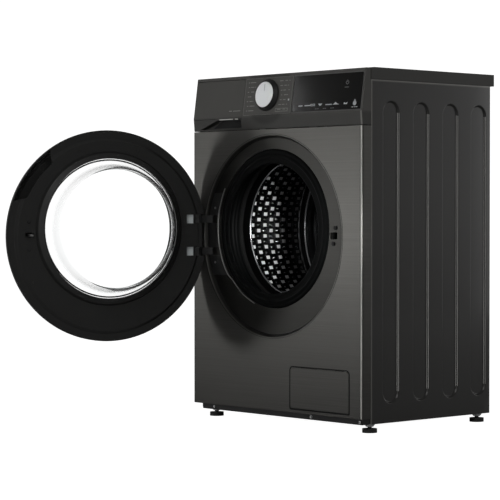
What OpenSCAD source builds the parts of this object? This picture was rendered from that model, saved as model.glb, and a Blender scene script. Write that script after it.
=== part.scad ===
// Front load washing machine, built as an assembly of separate pieces.
// Millimetres, +Z up. The origin is on the floor, midway between the four feet.
// X runs to the right as seen from the front, Y runs to the back.

/* [Cabinet] */
// Width over the side panels
body_w = 595; // [594:0.5:598]
// Height of the worktop above the floor
body_h = 850; // [848:1:852]
// Front face of the sheet panel to the rear edge of the worktop
body_d = 462; // [460:1:466]
// Front face of the sheet panel to the rear edge of the side panels
side_d = 445; // [444:0.5:446]
// Height of the front panel's lower edge
panel_low = 35; // [34:0.5:38]
// Height of the front panel's upper edge
panel_high = 714.6; // [713:0.2:715]
// Thickness of the sheet metal
sheet = 1; // [0.8:0.1:1.2]
// Depth of the stiffening pockets in the side panels
pocket_depth = 4.5; // [3:0.5:5]
// Width of one stiffening pocket
pocket_w = 55; // [50:1:58]

/* [Door] */
// Radius of the door's outer rim
door_r = 258.5; // [256:0.5:260]
// Height of the door's centre
door_z = 456; // [455:0.5:457]
// Angle by which the door stands open
door_open = 109; // [0:1:120]
// Radius of the round recess that the door closes into
recess_r = 243.8; // [243:0.2:245]
// Depth of the recess
recess_depth = 9.6; // [9:0.2:10]
// Radius of the loading opening
mouth_r = 193; // [192.5:0.5:193.5]

/* [Drum] */
// Distance of the drum axis from the middle of the cabinet
axis_x = -12; // [-14:0.5:-10]
// Height of the drum axis
axis_z = 474; // [473:0.5:475]
// Outer radius of the drum
drum_r = 235.8; // [234:0.2:236]
// Radius of the drum's mouth
drum_mouth_r = 165; // [163:0.5:168]
// Front edge of the drum
drum_front = 84; // [82:0.5:86]
// Back wall of the drum
drum_back_y = 340; // [338:0.5:340]
// Radius of the drum pulley
pulley_r = 140; // [130:1:142]
// Radius of the motor pulley
motor_pulley_r = 10; // [9:0.5:12]

/* [Controls] */
// Radius of the silver knob face
knob_face_r = 31.5; // [29:0.5:33]
// Radius of the knob's black skirt
knob_skirt_r = 39; // [37:0.5:40]
// Height of the knob face above the panel
knob_h = 13; // [11:0.5:16]

/* [Feet] */
// Foot centres left and right of the middle
foot_x = 270; // [268:0.5:272]
// Front feet behind the front panel
foot_front = 54; // [52:0.5:56]
// Rear feet behind the front panel
foot_rear = 429; // [427:0.5:430]
// Radius of a foot pad
pad_r = 17.5; // [16:0.5:18]

/* [Hidden] */
$fn = 96;

half_w = body_w / 2;
frame_y = -(foot_front + foot_rear) / 2;
body_grey = [0.30, 0.30, 0.29];
dark_grey = [0.18, 0.18, 0.17];
black = [0.07, 0.07, 0.07];
steel = [0.75, 0.76, 0.77];
rubber_black = [0.10, 0.11, 0.11];
white_plastic = [0.85, 0.85, 0.83];
grey_plastic = [0.55, 0.56, 0.57];

// Side panels
wrap = 30;
base_z = 22;
side_top = 821.5;
pocket_y = [97, 199.5, 302, 403];
pocket_low = 67;
pocket_high = 774;
pocket_slope = 4;
flange = 12;

// Control panel
fascia_low = 716;
fascia_bend_y = 0.8;
fascia_bend_z = 747;
fascia_top_y = 15.1;
fascia_top_z = 848;
fascia_wall = 3;
lean = atan((fascia_top_y - fascia_bend_y) / (fascia_top_z - fascia_bend_z));
seam_x = -116;
drawer_low = 744;
drawer_high = 839;
drawer_left = -half_w + 16;
knob_x = -30.5;
knob_up = 50.5;
shaft_r = 3;

// Door and hinge
hinge_x = -258;
hinge_y = -10;
arm_z = [417, 497];
arm_h = 18;
pin_r = 3;
running_gap = 0.05;
glass_r = 169.5;
door_front_y = -36;
rim_back_y = -3;
boss_y = 4;
hook_x = 193;
hook_hole = 9;
hook_y = -8;
hook_z = 458.5;

// Tub and drive
tub_r = 252;
tub_wall = 3;
tub_front_y = 66;
tub_split_y = 120;
tub_back_y = 370;
shaft_big_r = 15;
motor_z = 130;
motor_r = 62;
damper_x = 130;
damper_y = 205;
spring_x = 250;
spring_y = 205;
spring_low = 612;
spring_high = 733;

// Flap over the pump filter
flap_left = 57;
flap_right = 256;
flap_pin_y = 3.4;
flap_pin_z = 50;

// Pump
pump_x = 150;
pump_z = 95;
pump_bore_r = 27;
sump_x = 140;
sump_y = 95;
sump_low = 134;
sump_high = 247;
drain_x = 230;

// Rear connections
inlet_x = 215;
inlet_z = 770;
inlet_r = 13.2;
transit_gap = 165;

// Points of an arc about (cx, cy)
function arc(cx, cy, r, a0, a1, n = 10) =
    [for (i = [0:n]) let (a = a0 + (a1 - a0) * i / n) [cx + r * cos(a), cy + r * sin(a)]];

// Outline of a rectangle with round corners
function round_rect(x0, y0, x1, y1, r) = concat(
    arc(x1 - r, y0 + r, r, -90, 0),
    arc(x1 - r, y1 - r, r, 0, 90),
    arc(x0 + r, y1 - r, r, 90, 180),
    arc(x0 + r, y0 + r, r, 180, 270));

// The same with other corners at the bottom than at the top
function arch_rect(x0, y0, x1, y1, r_low, r_high) = concat(
    arc(x1 - r_low, y0 + r_low, r_low, -90, 0),
    arc(x1 - r_high, y1 - r_high, r_high, 0, 90),
    arc(x0 + r_high, y1 - r_high, r_high, 90, 180),
    arc(x0 + r_low, y0 + r_low, r_low, 180, 270));

// Outline of a belt round two wheels, the small one below the large one
function belt_outline(big, small, gap) = let (a = asin((big - small) / gap)) concat(
    arc(0, 0, big, -a, 180 + a, 48),
    arc(0, -gap, small, 180 + a, 360 - a, 24));

// Moves the model so that the origin is midway between the feet
module in_frame() {
    translate([0, frame_y, 0])
        children();
}

// Turns a shape so that its own Z runs to the back, about the line (x, z)
module along_y(x, z, y = 0) {
    translate([x, y, z])
        rotate([-90, 0, 0])
            children();
}

// Solid of revolution about a line along Y, with its profile as [radius, depth]
module turned_y(x, z, profile) {
    along_y(x, z)
        rotate_extrude()
            polygon(profile);
}

// Cylinder along Y
module rod_y(x, z, y0, y1, r) {
    along_y(x, z, y0)
        cylinder(h = y1 - y0, r = r);
}

// Tube along Y
module tube_y(x, z, y0, y1, r_out, r_in) {
    difference() {
        rod_y(x, z, y0, y1, r_out);
        rod_y(x, z, y0 - 1, y1 + 1, r_in);
    }
}

// Box between two corners
module box(low, high) {
    translate(low)
        cube(high - low);
}

// Outline drawn in X and Z, given depth along Y
module plate_y(outline, y0, y1) {
    translate([0, y1, 0])
        rotate([90, 0, 0])
            linear_extrude(y1 - y0)
                polygon(outline);
}

// Outline drawn in Y and Z, given width along X
module plate_x(outline, x0, x1) {
    translate([x0, 0, 0])
        rotate([90, 0, 90])
            linear_extrude(x1 - x0)
                polygon(outline);
}

// Works on the leaning front of the control panel: X right, Z up along it, -Y out of it
module on_fascia() {
    translate([0, fascia_bend_y, fascia_bend_z])
        rotate([-lean, 0, 0])
            children();
}

// Turns the closed door about its hinge to the angle at which it stands
module opened() {
    translate([hinge_x, hinge_y, 0])
        rotate([0, 0, -door_open])
            translate([-hinge_x, -hinge_y, 0])
                children();
}

// One arch-ended pocket in the left side panel
module side_pocket(y, r, depth) {
    for (z = [pocket_low + r, pocket_high - r])
        translate([-half_w, y, z])
            rotate([0, 90, 0])
                cylinder(h = depth, r1 = r, r2 = r - pocket_slope);
    translate([0, 0, pocket_low + r])
        linear_extrude(pocket_high - pocket_low - 2 * r)
            polygon([[-half_w, y - r], [-half_w + depth, y - r + pocket_slope],
                [-half_w + depth, y + r - pocket_slope], [-half_w, y + r]]);
}

module side_sheet() {
    difference() {
        union() {
            difference() {
                box([-half_w, wrap + 0.4, base_z], [-half_w + flange, side_d, side_top]);
                box([-half_w + sheet, wrap + 0.4 + sheet, base_z + sheet],
                    [-half_w + flange + 1, side_d - sheet, side_top - sheet]);
            }
            for (y = pocket_y)
                translate([0.5, 0, 0])
                    side_pocket(y, pocket_w / 2 + sheet, pocket_depth + sheet - 0.5);
        }
        for (y = pocket_y)
            translate([-0.01, 0, 0])
                side_pocket(y, pocket_w / 2, pocket_depth);
    }
}

module left_side_panel() {
    color(dark_grey)
        in_frame()
            side_sheet();
}

module right_side_panel() {
    color(dark_grey)
        in_frame()
            mirror([1, 0, 0])
                side_sheet();
}

module rear_panel() {
    back = side_d + 0.1;
    color(grey_plastic)
        in_frame()
            difference() {
                box([-290, back, 60], [290, back + sheet, 815]);
                rod_y(axis_x, axis_z, back - 1, back + 3, 150);
                for (sx = [-1, 1], sz = [-1, 1])
                    rod_y(axis_x + sx * transit_gap, axis_z + sz * transit_gap, back - 1, back + 3, 8);
                rod_y(inlet_x, inlet_z, back - 1, back + 3, inlet_r + 1.5);
                rod_y(drain_x, pump_z, back - 1, back + 3, 14);
                rod_y(245, 690, back - 1, back + 3, 9.2);
            }
}

module rear_access_cover() {
    back = side_d + 0.1 + sheet;
    color(grey_plastic)
        in_frame()
            turned_y(axis_x, axis_z, [[0, back + 6], [135, back + 6], [147, back], [160, back],
                [160, back + sheet], [147.5, back + sheet], [135.5, back + 6 + sheet],
                [0, back + 6 + sheet]]);
}

module base_pan() {
    color([0.16, 0.16, 0.16])
        in_frame()
            difference() {
                union() {
                    difference() {
                        box([-half_w + 2, wrap + 2, base_z + 1.2], [half_w - 2, side_d - 1.5, 44]);
                        box([-half_w + 3.5, wrap + 3.5, base_z + 2.7], [half_w - 3.5, side_d - 3, 45]);
                    }
                    // Strip under the front panel, with its right end turned back
                    box([-half_w + 32, 4, base_z], [half_w - 2, 5.5, 43.8]);
                    box([-half_w + 32, 5.5, base_z], [half_w - 2, wrap, base_z + 2.7]);
                    box([-half_w + 32, wrap, base_z], [half_w - 28, wrap + 3, base_z + 2.7]);
                    box([half_w - 3.5, 5.5, base_z], [half_w - 2, wrap, 43.8]);
                    for (sx = [-1, 1], y = [foot_front, foot_rear])
                        translate([sx * foot_x, y, base_z + 0.2])
                            cylinder(h = 14, r = 15);
                    for (sx = [-1, 1])
                        box([axis_x + sx * damper_x - 12, damper_y - 12, base_z + 2],
                            [axis_x + sx * damper_x + 12, damper_y + 12, 44.9]);
                    box([pump_x - 24, 150, base_z + 2], [pump_x + 24, 180, pump_z - 25.2]);
                    box([pump_x - 14, 30, base_z + 2], [pump_x + 14, 60, pump_z - 30.1]);
                }
                for (sx = [-1, 1], y = [foot_front, foot_rear])
                    translate([sx * foot_x, y, base_z - 1])
                        cylinder(h = 60, r = 7);
                rod_y(pump_x, pump_z, 20, 70, 30.1);
                rod_y(pump_x, pump_z, 140, 190, 25.1);
            }
}

module worktop() {
    top = round_rect(-half_w, 28, half_w, body_d, 4);
    color(dark_grey)
        in_frame()
            difference() {
                translate([0, 0, body_h - 28])
                    linear_extrude(28)
                        polygon(top);
                box([-half_w + 10, 38, body_h - 29], [half_w - 10, body_d - 26, body_h - 14]);
                // Slope that meets the top edge of the control panel
                plate_x([[27, body_h - 1.4], [40, body_h], [40, body_h + 1], [27, body_h + 1]],
                    -half_w - 1, half_w + 1);
            }
}

// Two cross braces under the worktop and the brackets that the springs hang from
module upper_frame() {
    color(steel)
        in_frame() {
            for (y = [120, 345])
                difference() {
                    box([-half_w + 1.2, y, side_top - 4], [half_w - 1.2, y + 32, side_top - 1.2]);
                    box([-half_w, y + 4, side_top - 5], [half_w, y + 28, side_top - 2.4]);
                }
            for (s = [-1, 1])
                box([axis_x + s * spring_x - 14, spring_y - 12, spring_high + 0.2],
                    [axis_x + s * spring_x + 14, spring_y + 12, spring_high + 4]);
        }
}

// Plan of the front sheet: a shallow channel that wraps round both sides
function front_plan(r) = concat(
    arc(-half_w + r, r, r, 180, 270, 6),
    arc(half_w - r, r, r, 270, 360, 6),
    [[half_w, wrap], [half_w - sheet, wrap]],
    arc(half_w - r, r, r - sheet, 360, 270, 6),
    arc(-half_w + r, r, r - sheet, 270, 180, 6),
    [[-half_w + sheet, wrap], [-half_w, wrap]]);

module front_panel() {
    flap = arch_rect(flap_left, 44.5, flap_right, 144, 3, 9);
    color(body_grey)
        in_frame()
            difference() {
                union() {
                    difference() {
                        translate([0, 0, panel_low])
                            linear_extrude(panel_high - panel_low)
                                polygon(front_plan(5));
                        rod_y(axis_x, door_z, -1, 3, recess_r);
                        plate_y(flap, -1, 3);
                    }
                    turned_y(axis_x, door_z, [[recess_r, 0], [recess_r + 2.5, 0.8], [recess_r + 2.5, 1.4],
                        [recess_r - 3, recess_depth + sheet], [0, recess_depth + sheet],
                        [0, recess_depth], [recess_r - 5, recess_depth]]);
                    rod_y(axis_x, axis_z, recess_depth + 0.5, 20, mouth_r + sheet);
                    for (x = [flap_left - 3.5, flap_right + 0.5])
                        box([x, 0.5, 46], [x + 3, 7, 54]);
                }
                rod_y(axis_x, axis_z, 0, 21, mouth_r);
                box([hook_x - hook_hole, 5, hook_z - 8], [hook_x + hook_hole + 5, 15, hook_z + 8]);
                translate([flap_left - 12, flap_pin_y, flap_pin_z])
                    rotate([0, 90, 0])
                        cylinder(h = flap_right - flap_left + 24, r = 1.5 + running_gap);
            }
}

// Cover over the hinge plate: it fills the recess between its wall and the mouth
module hinge_cover() {
    color(black)
        in_frame()
            difference() {
                intersection() {
                    turned_y(axis_x, door_z, [[180, 6.1], [236.5, 6.1], [236.5, 7.5], [180, 7.5]]);
                    box([-300, 0, door_z - 98], [-150, 20, door_z + 106]);
                }
                for (z = arm_z)
                    box([-300, 0, z - arm_h / 2 - 0.6], [-200, 20, z + arm_h / 2 + 0.6]);
                rod_y(axis_x, axis_z, 0, 20, mouth_r + 1.5);
            }
}

module hinge_bracket() {
    color([0.12, 0.12, 0.12])
        in_frame() {
            difference() {
                union() {
                    intersection() {
                        turned_y(axis_x, door_z, [[224, 7.6], [236, 7.6], [236, 9.5], [224, 9.5]]);
                        box([-300, 0, door_z - 90], [-150, 20, door_z + 98]);
                    }
                    for (z = arm_z) {
                        translate([0, 0, z - arm_h / 2])
                            linear_extrude(arm_h)
                                polygon([[-244, 9.4], [-232, 9.4], [-232, 6], [-241, -4], [-248, -14],
                                    [-258, -15.2], [-258, -4.8], [-249, -2], [-245.5, 5]]);
                        translate([hinge_x, hinge_y, z - arm_h / 2])
                            cylinder(h = arm_h, r = 5.3);
                    }
                }
                translate([hinge_x, hinge_y, 300])
                    cylinder(h = 300, r = pin_r);
            }
            translate([hinge_x, hinge_y, arm_z[0] - arm_h / 2 - 2])
                cylinder(h = arm_z[1] - arm_z[0] + arm_h + 4, r = pin_r);
        }
}

module door_lock() {
    color(black)
        in_frame()
            difference() {
                box([hook_x - 6.4, recess_depth + sheet + 0.2, hook_z - 34],
                    [hook_x + 20, 36, hook_z + 34]);
                box([hook_x - hook_hole - 1, 5, hook_z - 9], [hook_x + hook_hole + 6, 31, hook_z + 9]);
            }
}

module gasket() {
    color(rubber_black)
        in_frame()
            turned_y(axis_x, axis_z, [[192.8, 10.3], [192.8, 20.5], [197, 20.5], [197, 45],
                [191, 52], [185.2, 54], [185.2, 65.5], [180.3, 65.5], [180.3, 50.5], [188, 48],
                [193, 42], [193, 35], [187.5, 33], [166, 62], [163, 61], [184.5, 27],
                [190.8, 20], [190.8, 10.3]]);
}

// Side view of the control panel
function fascia_side(wall) = [
    [fascia_bend_y + 2.7 + wall, fascia_low - (wall > 0 ? 1 : 0)],
    [fascia_bend_y + wall, fascia_bend_z],
    [fascia_top_y + wall, fascia_top_z - wall],
    [28 - 0.4 + (wall > 0 ? 1 : 0), fascia_top_z - wall],
    [28 - 0.4 + (wall > 0 ? 1 : 0), side_top],
    [wrap + (wall > 0 ? 1 : 0), side_top],
    [wrap + (wall > 0 ? 1 : 0), fascia_low - (wall > 0 ? 1 : 0)]];

module control_panel() {
    // The finger pocket under the drawer front
    grip = [[-275, 719.5], [seam_x - 4, 719.5], [seam_x - 4, 741.5], [-207, 741.5]];
    color(body_grey)
        in_frame()
            difference() {
                union() {
                    difference() {
                        plate_x(fascia_side(0), -half_w, half_w);
                        plate_x(fascia_side(fascia_wall), -half_w + fascia_wall, half_w - fascia_wall);
                    }
                    box([-282, 4, 716.6], [seam_x, 22, 743.4]);
                }
                plate_y(grip, -5, 19);
                box([-half_w + fascia_wall, -5, drawer_low], [seam_x, 20, drawer_high + 1]);
                on_fascia()
                    along_y(knob_x, knob_up, -5)
                        cylinder(h = 20, r = 5);
            }
}

module program_plate() {
    color([0.27, 0.27, 0.26])
        in_frame()
            on_fascia()
                difference() {
                    plate_y(round_rect(seam_x + 2, 4.5, 58.5, 93, 1.5), -0.9, -0.05);
                    along_y(knob_x, knob_up, -5)
                        cylinder(h = 10, r = 5);
                }
}

module display_window() {
    color(black)
        in_frame()
            on_fascia()
                plate_y(round_rect(60, 6, 290, 92, 2), -1.2, -0.05);
}

module control_board() {
    color([0.1, 0.3, 0.15])
        in_frame()
            on_fascia() {
                difference() {
                    plate_y(round_rect(-70, 10, 285, 90, 2), 8, 9.6);
                    along_y(knob_x, knob_up, 0)
                        cylinder(h = 20, r = 8);
                }
                difference() {
                    along_y(knob_x, knob_up, 4)
                        cylinder(h = 12, r = 8);
                    along_y(knob_x, knob_up, 0)
                        cylinder(h = 15, r = shaft_r + running_gap);
                }
                for (x = [90, 150, 210])
                    box([x, 9.6, 30], [x + 30, 14, 55]);
            }
}

module drawer_housing() {
    color(white_plastic)
        in_frame()
            difference() {
                box([drawer_left - 3.6, 24, drawer_low - 2], [seam_x, 300, 816.5]);
                box([drawer_left - 1.6, 20, drawer_low + 0.5], [seam_x - 2, 298, 814.5]);
                along_y(-200, 788, 290)
                    cylinder(h = 20, r = 8);
            }
}

module inlet_valve() {
    color(white_plastic)
        in_frame()
            difference() {
                union() {
                    box([inlet_x - 20, 405, inlet_z - 20], [inlet_x + 20, 444, inlet_z + 28]);
                    rod_y(inlet_x, inlet_z, 440, 461, inlet_r);
                }
                rod_y(inlet_x, inlet_z, 430, 462, 8);
            }
}

module fill_hose() {
    bend = 30;
    color(grey_plastic)
        in_frame() {
            difference() {
                union() {
                    translate([-170, 425, 788])
                        rotate([0, 90, 0])
                            cylinder(h = inlet_x - 20.1 + 170, r = 8);
                    translate([-170, 425 - bend, 788])
                        rotate([0, 0, 90])
                            rotate_extrude(angle = 90)
                                translate([bend, 0])
                                    circle(r = 8);
                    rod_y(-200, 788, 300.1, 395, 8);
                }
                rod_y(-200, 788, 299, 330, 5);
            }
        }
}

module pump_housing() {
    color(white_plastic)
        in_frame()
            difference() {
                union() {
                    rod_y(pump_x, pump_z, 12, 112, 30);
                    rod_y(pump_x, pump_z, 110, 150, 38);
                    rod_y(pump_x, pump_z, 149, 187, 25);
                    translate([sump_x, sump_y, pump_z + 10])
                        cylinder(h = 45, r = 16);
                    translate([pump_x + 30, 130, pump_z])
                        rotate([0, 90, 0])
                            cylinder(h = 24, r = 10);
                }
                rod_y(pump_x, pump_z, 11, 112, pump_bore_r);
                rod_y(pump_x, pump_z, 111, 145, 33);
                translate([sump_x, sump_y, pump_z + 8])
                    cylinder(h = 50, r = 13);
                translate([pump_x + 20, 130, pump_z])
                    rotate([0, 90, 0])
                        cylinder(h = 40, r = 8);
            }
}

// Shapes the drain hose: out of the pump to the right, a bend, then straight back
module drain_path(r) {
    bend = 26;
    translate([pump_x + 39, 130, pump_z])
        rotate([0, 90, 0])
            cylinder(h = drain_x - bend - pump_x - 39, r = r);
    translate([drain_x - bend, 130 + bend, pump_z])
        rotate([0, 0, -90])
            rotate_extrude(angle = 90)
                translate([bend, 0])
                    circle(r = r);
    rod_y(drain_x, pump_z, 130 + bend, 425, r);
}

module drain_hose() {
    color(grey_plastic)
        in_frame()
            difference() {
                drain_path(13);
                drain_path(10.1);
                rod_y(drain_x, pump_z, 420, 430, 10.1);
                translate([pump_x + 35, 130, pump_z])
                    rotate([0, 90, 0])
                        cylinder(h = 10, r = 10.1);
            }
}

module drain_outlet() {
    color(black)
        in_frame()
            difference() {
                union() {
                    rod_y(drain_x, pump_z, 412, 461, 10);
                    rod_y(drain_x, pump_z, side_d + 1.2, side_d + 3.2, 17);
                }
                rod_y(drain_x, pump_z, 411, 462, 7.5);
            }
}

module power_gland() {
    color(black)
        in_frame()
            difference() {
                union() {
                    rod_y(245, 690, 436, 456, 9);
                    rod_y(245, 690, side_d + 1.2, side_d + 4, 13);
                }
                rod_y(245, 690, 435, 457, 4.2);
            }
}

module sump_hose() {
    color(rubber_black)
        in_frame()
            translate([sump_x, sump_y, 0])
                rotate_extrude()
                    polygon(concat([[16.1, sump_low]],
                        [for (i = [0:12]) [i % 2 == 0 ? 20 : 24, sump_low + 2 + i * 9]],
                        [[20, sump_high], [16.1, sump_high], [16.1, sump_high - 2]],
                        [for (i = [12:-1:0]) [i % 2 == 0 ? 17 : 21, sump_low + 2 + i * 9]]));
}

module suspension_springs() {
    color(steel)
        in_frame()
            for (s = [-1, 1])
                translate([axis_x + s * spring_x, spring_y, spring_low])
                    difference() {
                        cylinder(h = spring_high - spring_low, r = 11);
                        translate([0, 0, -1])
                            cylinder(h = spring_high - spring_low + 2, r = 8);
                    }
}

module damper_cylinders() {
    color(grey_plastic)
        in_frame()
            for (s = [-1, 1])
                translate([axis_x + s * damper_x, damper_y, 45])
                    difference() {
                        cylinder(h = 105, r = 14);
                        translate([0, 0, 10])
                            cylinder(h = 96, r = 9 + running_gap);
                    }
}

module foot_nuts() {
    color(steel)
        in_frame()
            for (sx = [-1, 1], y = [foot_front, foot_rear])
                translate([sx * foot_x, y, 13.8])
                    difference() {
                        cylinder(h = base_z + 0.1 - 13.8, r1 = 8.5, r2 = 15);
                        translate([0, 0, -1])
                            cylinder(h = 12, r = 5 + running_gap);
                    }
}

// Round screw head with its face towards the front
module front_screw(x, y, z, r) {
    rod_y(x, z, y - 1.2, y, r);
}

module panel_screws() {
    color(steel)
        in_frame() {
            for (x = [-222, 126, 288])
                front_screw(x, 4, base_z + 7, 3.5);
            for (s = [-1, 1])
                front_screw(-221, 6.1, (arm_z[0] + arm_z[1]) / 2 + s * 67.5, 3);
            front_screw(hook_x + 9, recess_depth, hook_z + 18.5, 3);
            front_screw(hook_x + 2, recess_depth, hook_z - 18.5, 3);
            for (a = [0:60:300])
                rod_y(axis_x + 153.5 * cos(a + 30), axis_z + 153.5 * sin(a + 30),
                    side_d + 2.2, side_d + 4, 4);
            for (x = [-282, 282], z = [80, 440, 800])
                rod_y(x, z, side_d + 1.2, side_d + 3, 4);
        }
}

module tub_front() {
    color(grey_plastic)
        in_frame()
            difference() {
                union() {
                    turned_y(axis_x, axis_z, [[176, 58], [180, 58], [180, tub_front_y],
                        [244, tub_front_y], [tub_r, tub_front_y + 8], [tub_r, tub_split_y - 10],
                        [tub_r + 5, tub_split_y - 6], [tub_r + 5, tub_split_y],
                        [tub_r - tub_wall, tub_split_y], [tub_r - tub_wall, tub_front_y + 9],
                        [243, tub_front_y + tub_wall], [176, tub_front_y + tub_wall]]);
                    translate([sump_x, sump_y, 241])
                        cylinder(h = 40, r = 16);
                }
                rod_y(axis_x, axis_z, tub_front_y + 9, tub_split_y + 1, tub_r - tub_wall);
                translate([sump_x, sump_y, 240])
                    cylinder(h = 60, r = 13);
            }
}

module tub_rear() {
    color(grey_plastic)
        in_frame()
            difference() {
                union() {
                    rod_y(axis_x, axis_z, tub_split_y + 0.2, tub_back_y, tub_r);
                    rod_y(axis_x, axis_z, tub_split_y + 0.2, tub_split_y + 6, tub_r + 5);
                    rod_y(axis_x, axis_z, tub_back_y - 6, 396, 45);
                    box([axis_x - 70, 140, 206], [axis_x + 70, 340, 240]);
                    for (s = [-1, 1]) {
                        box([axis_x + s * 237 - 27, spring_y - 10, 598],
                            [axis_x + s * 237 + 27, spring_y + 10, spring_low - 0.2]);
                        box([axis_x + s * damper_x - 13, damper_y - 13, 225],
                            [axis_x + s * damper_x + 13, damper_y + 13, 270]);
                        for (y = [232, 338])
                            box([axis_x + s * 95 - 7, y, 140], [axis_x + s * 95 + 7, y + 10, 260]);
                    }
                }
                rod_y(axis_x, axis_z, tub_split_y - 1, tub_back_y - 4, tub_r - tub_wall);
                rod_y(axis_x, axis_z, tub_back_y - 10, 397, 31);
                box([axis_x - 66, 144, 210], [axis_x + 66, 336, 250]);
                box([axis_x - 33, 330, 211], [axis_x + 33, 345, 220]);
            }
}

module front_counterweight() {
    color([0.45, 0.45, 0.44])
        in_frame()
            along_y(axis_x, axis_z)
                rotate([0, 0, -35])
                    rotate_extrude(angle = 250)
                        polygon([[203, 42], [247, 42], [247, 64.8], [203, 64.8]]);
}

module top_counterweight() {
    color([0.45, 0.45, 0.44])
        in_frame()
            difference() {
                box([0, 150, 690], [185, 330, 765]);
                rod_y(axis_x, axis_z, 100, 350, tub_r + 0.2);
            }
}

module heater() {
    color(steel)
        in_frame() {
            for (s = [-1, 1])
                rod_y(axis_x + s * 24, 215.5, 180, 352, 4);
            translate([axis_x, 180, 215.5])
                rotate([0, 0, 180])
                    rotate_extrude(angle = 180)
                        translate([24, 0])
                            circle(r = 4);
            box([axis_x - 38, 340.1, 207.5], [axis_x + 38, 344, 221.5]);
        }
}

module bearings() {
    color(steel)
        in_frame() {
            tube_y(axis_x, axis_z, 366, 380, 31, shaft_big_r + running_gap);
            tube_y(axis_x, axis_z, 383, 396, 31, shaft_big_r + running_gap);
        }
}

module motor_body() {
    color([0.35, 0.36, 0.37])
        in_frame()
            difference() {
                union() {
                    rod_y(axis_x, motor_z, 215, 360, motor_r);
                    for (y = [242.2, 348.2])
                        box([axis_x - 102, y, 142], [axis_x + 102, y + 6, 168]);
                }
                rod_y(axis_x, motor_z, 330, 361, 6 + running_gap);
            }
}

module damper_rods() {
    color(steel)
        in_frame()
            for (s = [-1, 1])
                translate([axis_x + s * damper_x, damper_y, 66])
                    cylinder(h = 158.9, r = 9);
}

module drive_belt() {
    gap = axis_z - motor_z;
    big = pulley_r + 0.4;
    small = motor_pulley_r + 0.4;
    color(black)
        in_frame()
            translate([axis_x, 0, axis_z])
                difference() {
                    plate_y(belt_outline(big + 3, small + 3, gap), 402, 413);
                    plate_y(belt_outline(big, small, gap), 401, 414);
                }
}

module drum_shell() {
    r = drum_r;
    color(steel)
        in_frame()
            turned_y(axis_x, axis_z, [[drum_mouth_r, drum_front + 6], [drum_mouth_r, drum_front + 1],
                [drum_mouth_r + 2, drum_front], [drum_mouth_r + 6, drum_front],
                [r - 6, drum_front + 8], [r, drum_front + 14], [r, drum_back_y - 0.6],
                [r - 1, drum_back_y - 0.6], [r - 1, drum_front + 14.5], [r - 6.5, drum_front + 9],
                [drum_mouth_r + 5, drum_front + 1], [drum_mouth_r + 1, drum_front + 1.5],
                [drum_mouth_r + 1, drum_front + 6]]);
}

module drum_back() {
    color(steel)
        in_frame()
            turned_y(axis_x, axis_z, [[0, drum_back_y - 12], [70, drum_back_y - 12],
                [100, drum_back_y - 2], [drum_r - 1.2, drum_back_y - 2], [drum_r - 1.2, drum_back_y - 0.8],
                [99.5, drum_back_y - 0.8], [69.5, drum_back_y - 10.8], [0, drum_back_y - 10.8]]);
}

module drum_lifters() {
    color(grey_plastic)
        in_frame()
            for (a = [0, 120, 240])
                intersection() {
                    rod_y(axis_x, axis_z, 118, 318, drum_r - 1.2);
                    translate([axis_x, 0, axis_z])
                        rotate([0, -a, 0])
                            plate_y([[187, -9], [240, -27], [240, 27], [187, 9]], 118, 318);
                }
}

module drum_spider() {
    color(steel)
        in_frame()
            difference() {
                union() {
                    rod_y(axis_x, axis_z, drum_back_y + 0.2, 361, 32);
                    for (a = [30, 150, 270])
                        translate([axis_x, 0, axis_z])
                            rotate([0, -a, 0])
                                box([10, drum_back_y + 0.2, -14], [drum_r - 2, drum_back_y + 12, 14]);
                }
                rod_y(axis_x, axis_z, drum_back_y + 4, 362, shaft_big_r);
            }
}

module drum_shaft() {
    color(steel)
        in_frame() {
            rod_y(axis_x, axis_z, drum_back_y + 4.2, 398.2, shaft_big_r - 0.01);
            rod_y(axis_x, axis_z, 398, 420, 12);
        }
}

module drum_pulley() {
    color(steel)
        in_frame()
            difference() {
                turned_y(axis_x, axis_z, [[12, 398.4], [22, 398.4], [22, 405], [130, 405], [130, 401],
                    [pulley_r, 401], [pulley_r, 414], [130, 414], [130, 408], [22, 408], [22, 417],
                    [12, 417]]);
                for (a = [0:60:300])
                    rod_y(axis_x + 78 * cos(a), axis_z + 78 * sin(a), 400, 420, 26);
            }
}

module motor_rotor() {
    color(steel)
        in_frame() {
            rod_y(axis_x, motor_z, 332, 420, 6);
            tube_y(axis_x, motor_z, 400.5, 414.5, motor_pulley_r, 5.5);
        }
}

module pump_impeller() {
    color(white_plastic)
        in_frame()
            union() {
                rod_y(pump_x, pump_z, 122, 144, 6);
                for (a = [0:90:270])
                    translate([pump_x, 0, pump_z])
                        rotate([0, a, 0])
                            box([0, 124, -1.5], [24, 140, 1.5]);
            }
}

// The pocket in the door's hinge edge that clears the fixed hinge arms and holds the barrel
module hinge_pocket() {
    box([-265, -16.5, arm_z[0] - 13], [-246, 9, arm_z[1] + 13]);
    for (z = arm_z) {
        box([-275, -17, z - 11], [-238, 9, z + 11]);
        box([-239, -3.6, z - 11], [-221, 9, z + 11]);
    }
}

// The finger pocket in the free edge of the door, as an outline in X and Z
function pull_outline(r_in) = concat(
    arc(axis_x, door_z, door_r + 8, 18, 56, 12),
    arc(axis_x, door_z, r_in, 50, 24, 10));

// What would strike the front panel as the door swings open, as an outline in X and Y
function relief_outline(inset) = [[hinge_x - 6.5 + inset, 20], [hinge_x - 6.5 + inset, hinge_y + 7],
    [hinge_x - 9 + inset, hinge_y + 2], [hinge_x - 9 + inset, hinge_y - 3],
    [hinge_x + 6.8 + inset, hinge_y - 26], [hinge_x + 17.3 + inset, hinge_y - 41],
    [-330, hinge_y - 41], [-330, 20]];

module hinge_relief(inset = 0) {
    translate([0, 0, 200])
        linear_extrude(500)
            polygon(relief_outline(inset));
}

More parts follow.
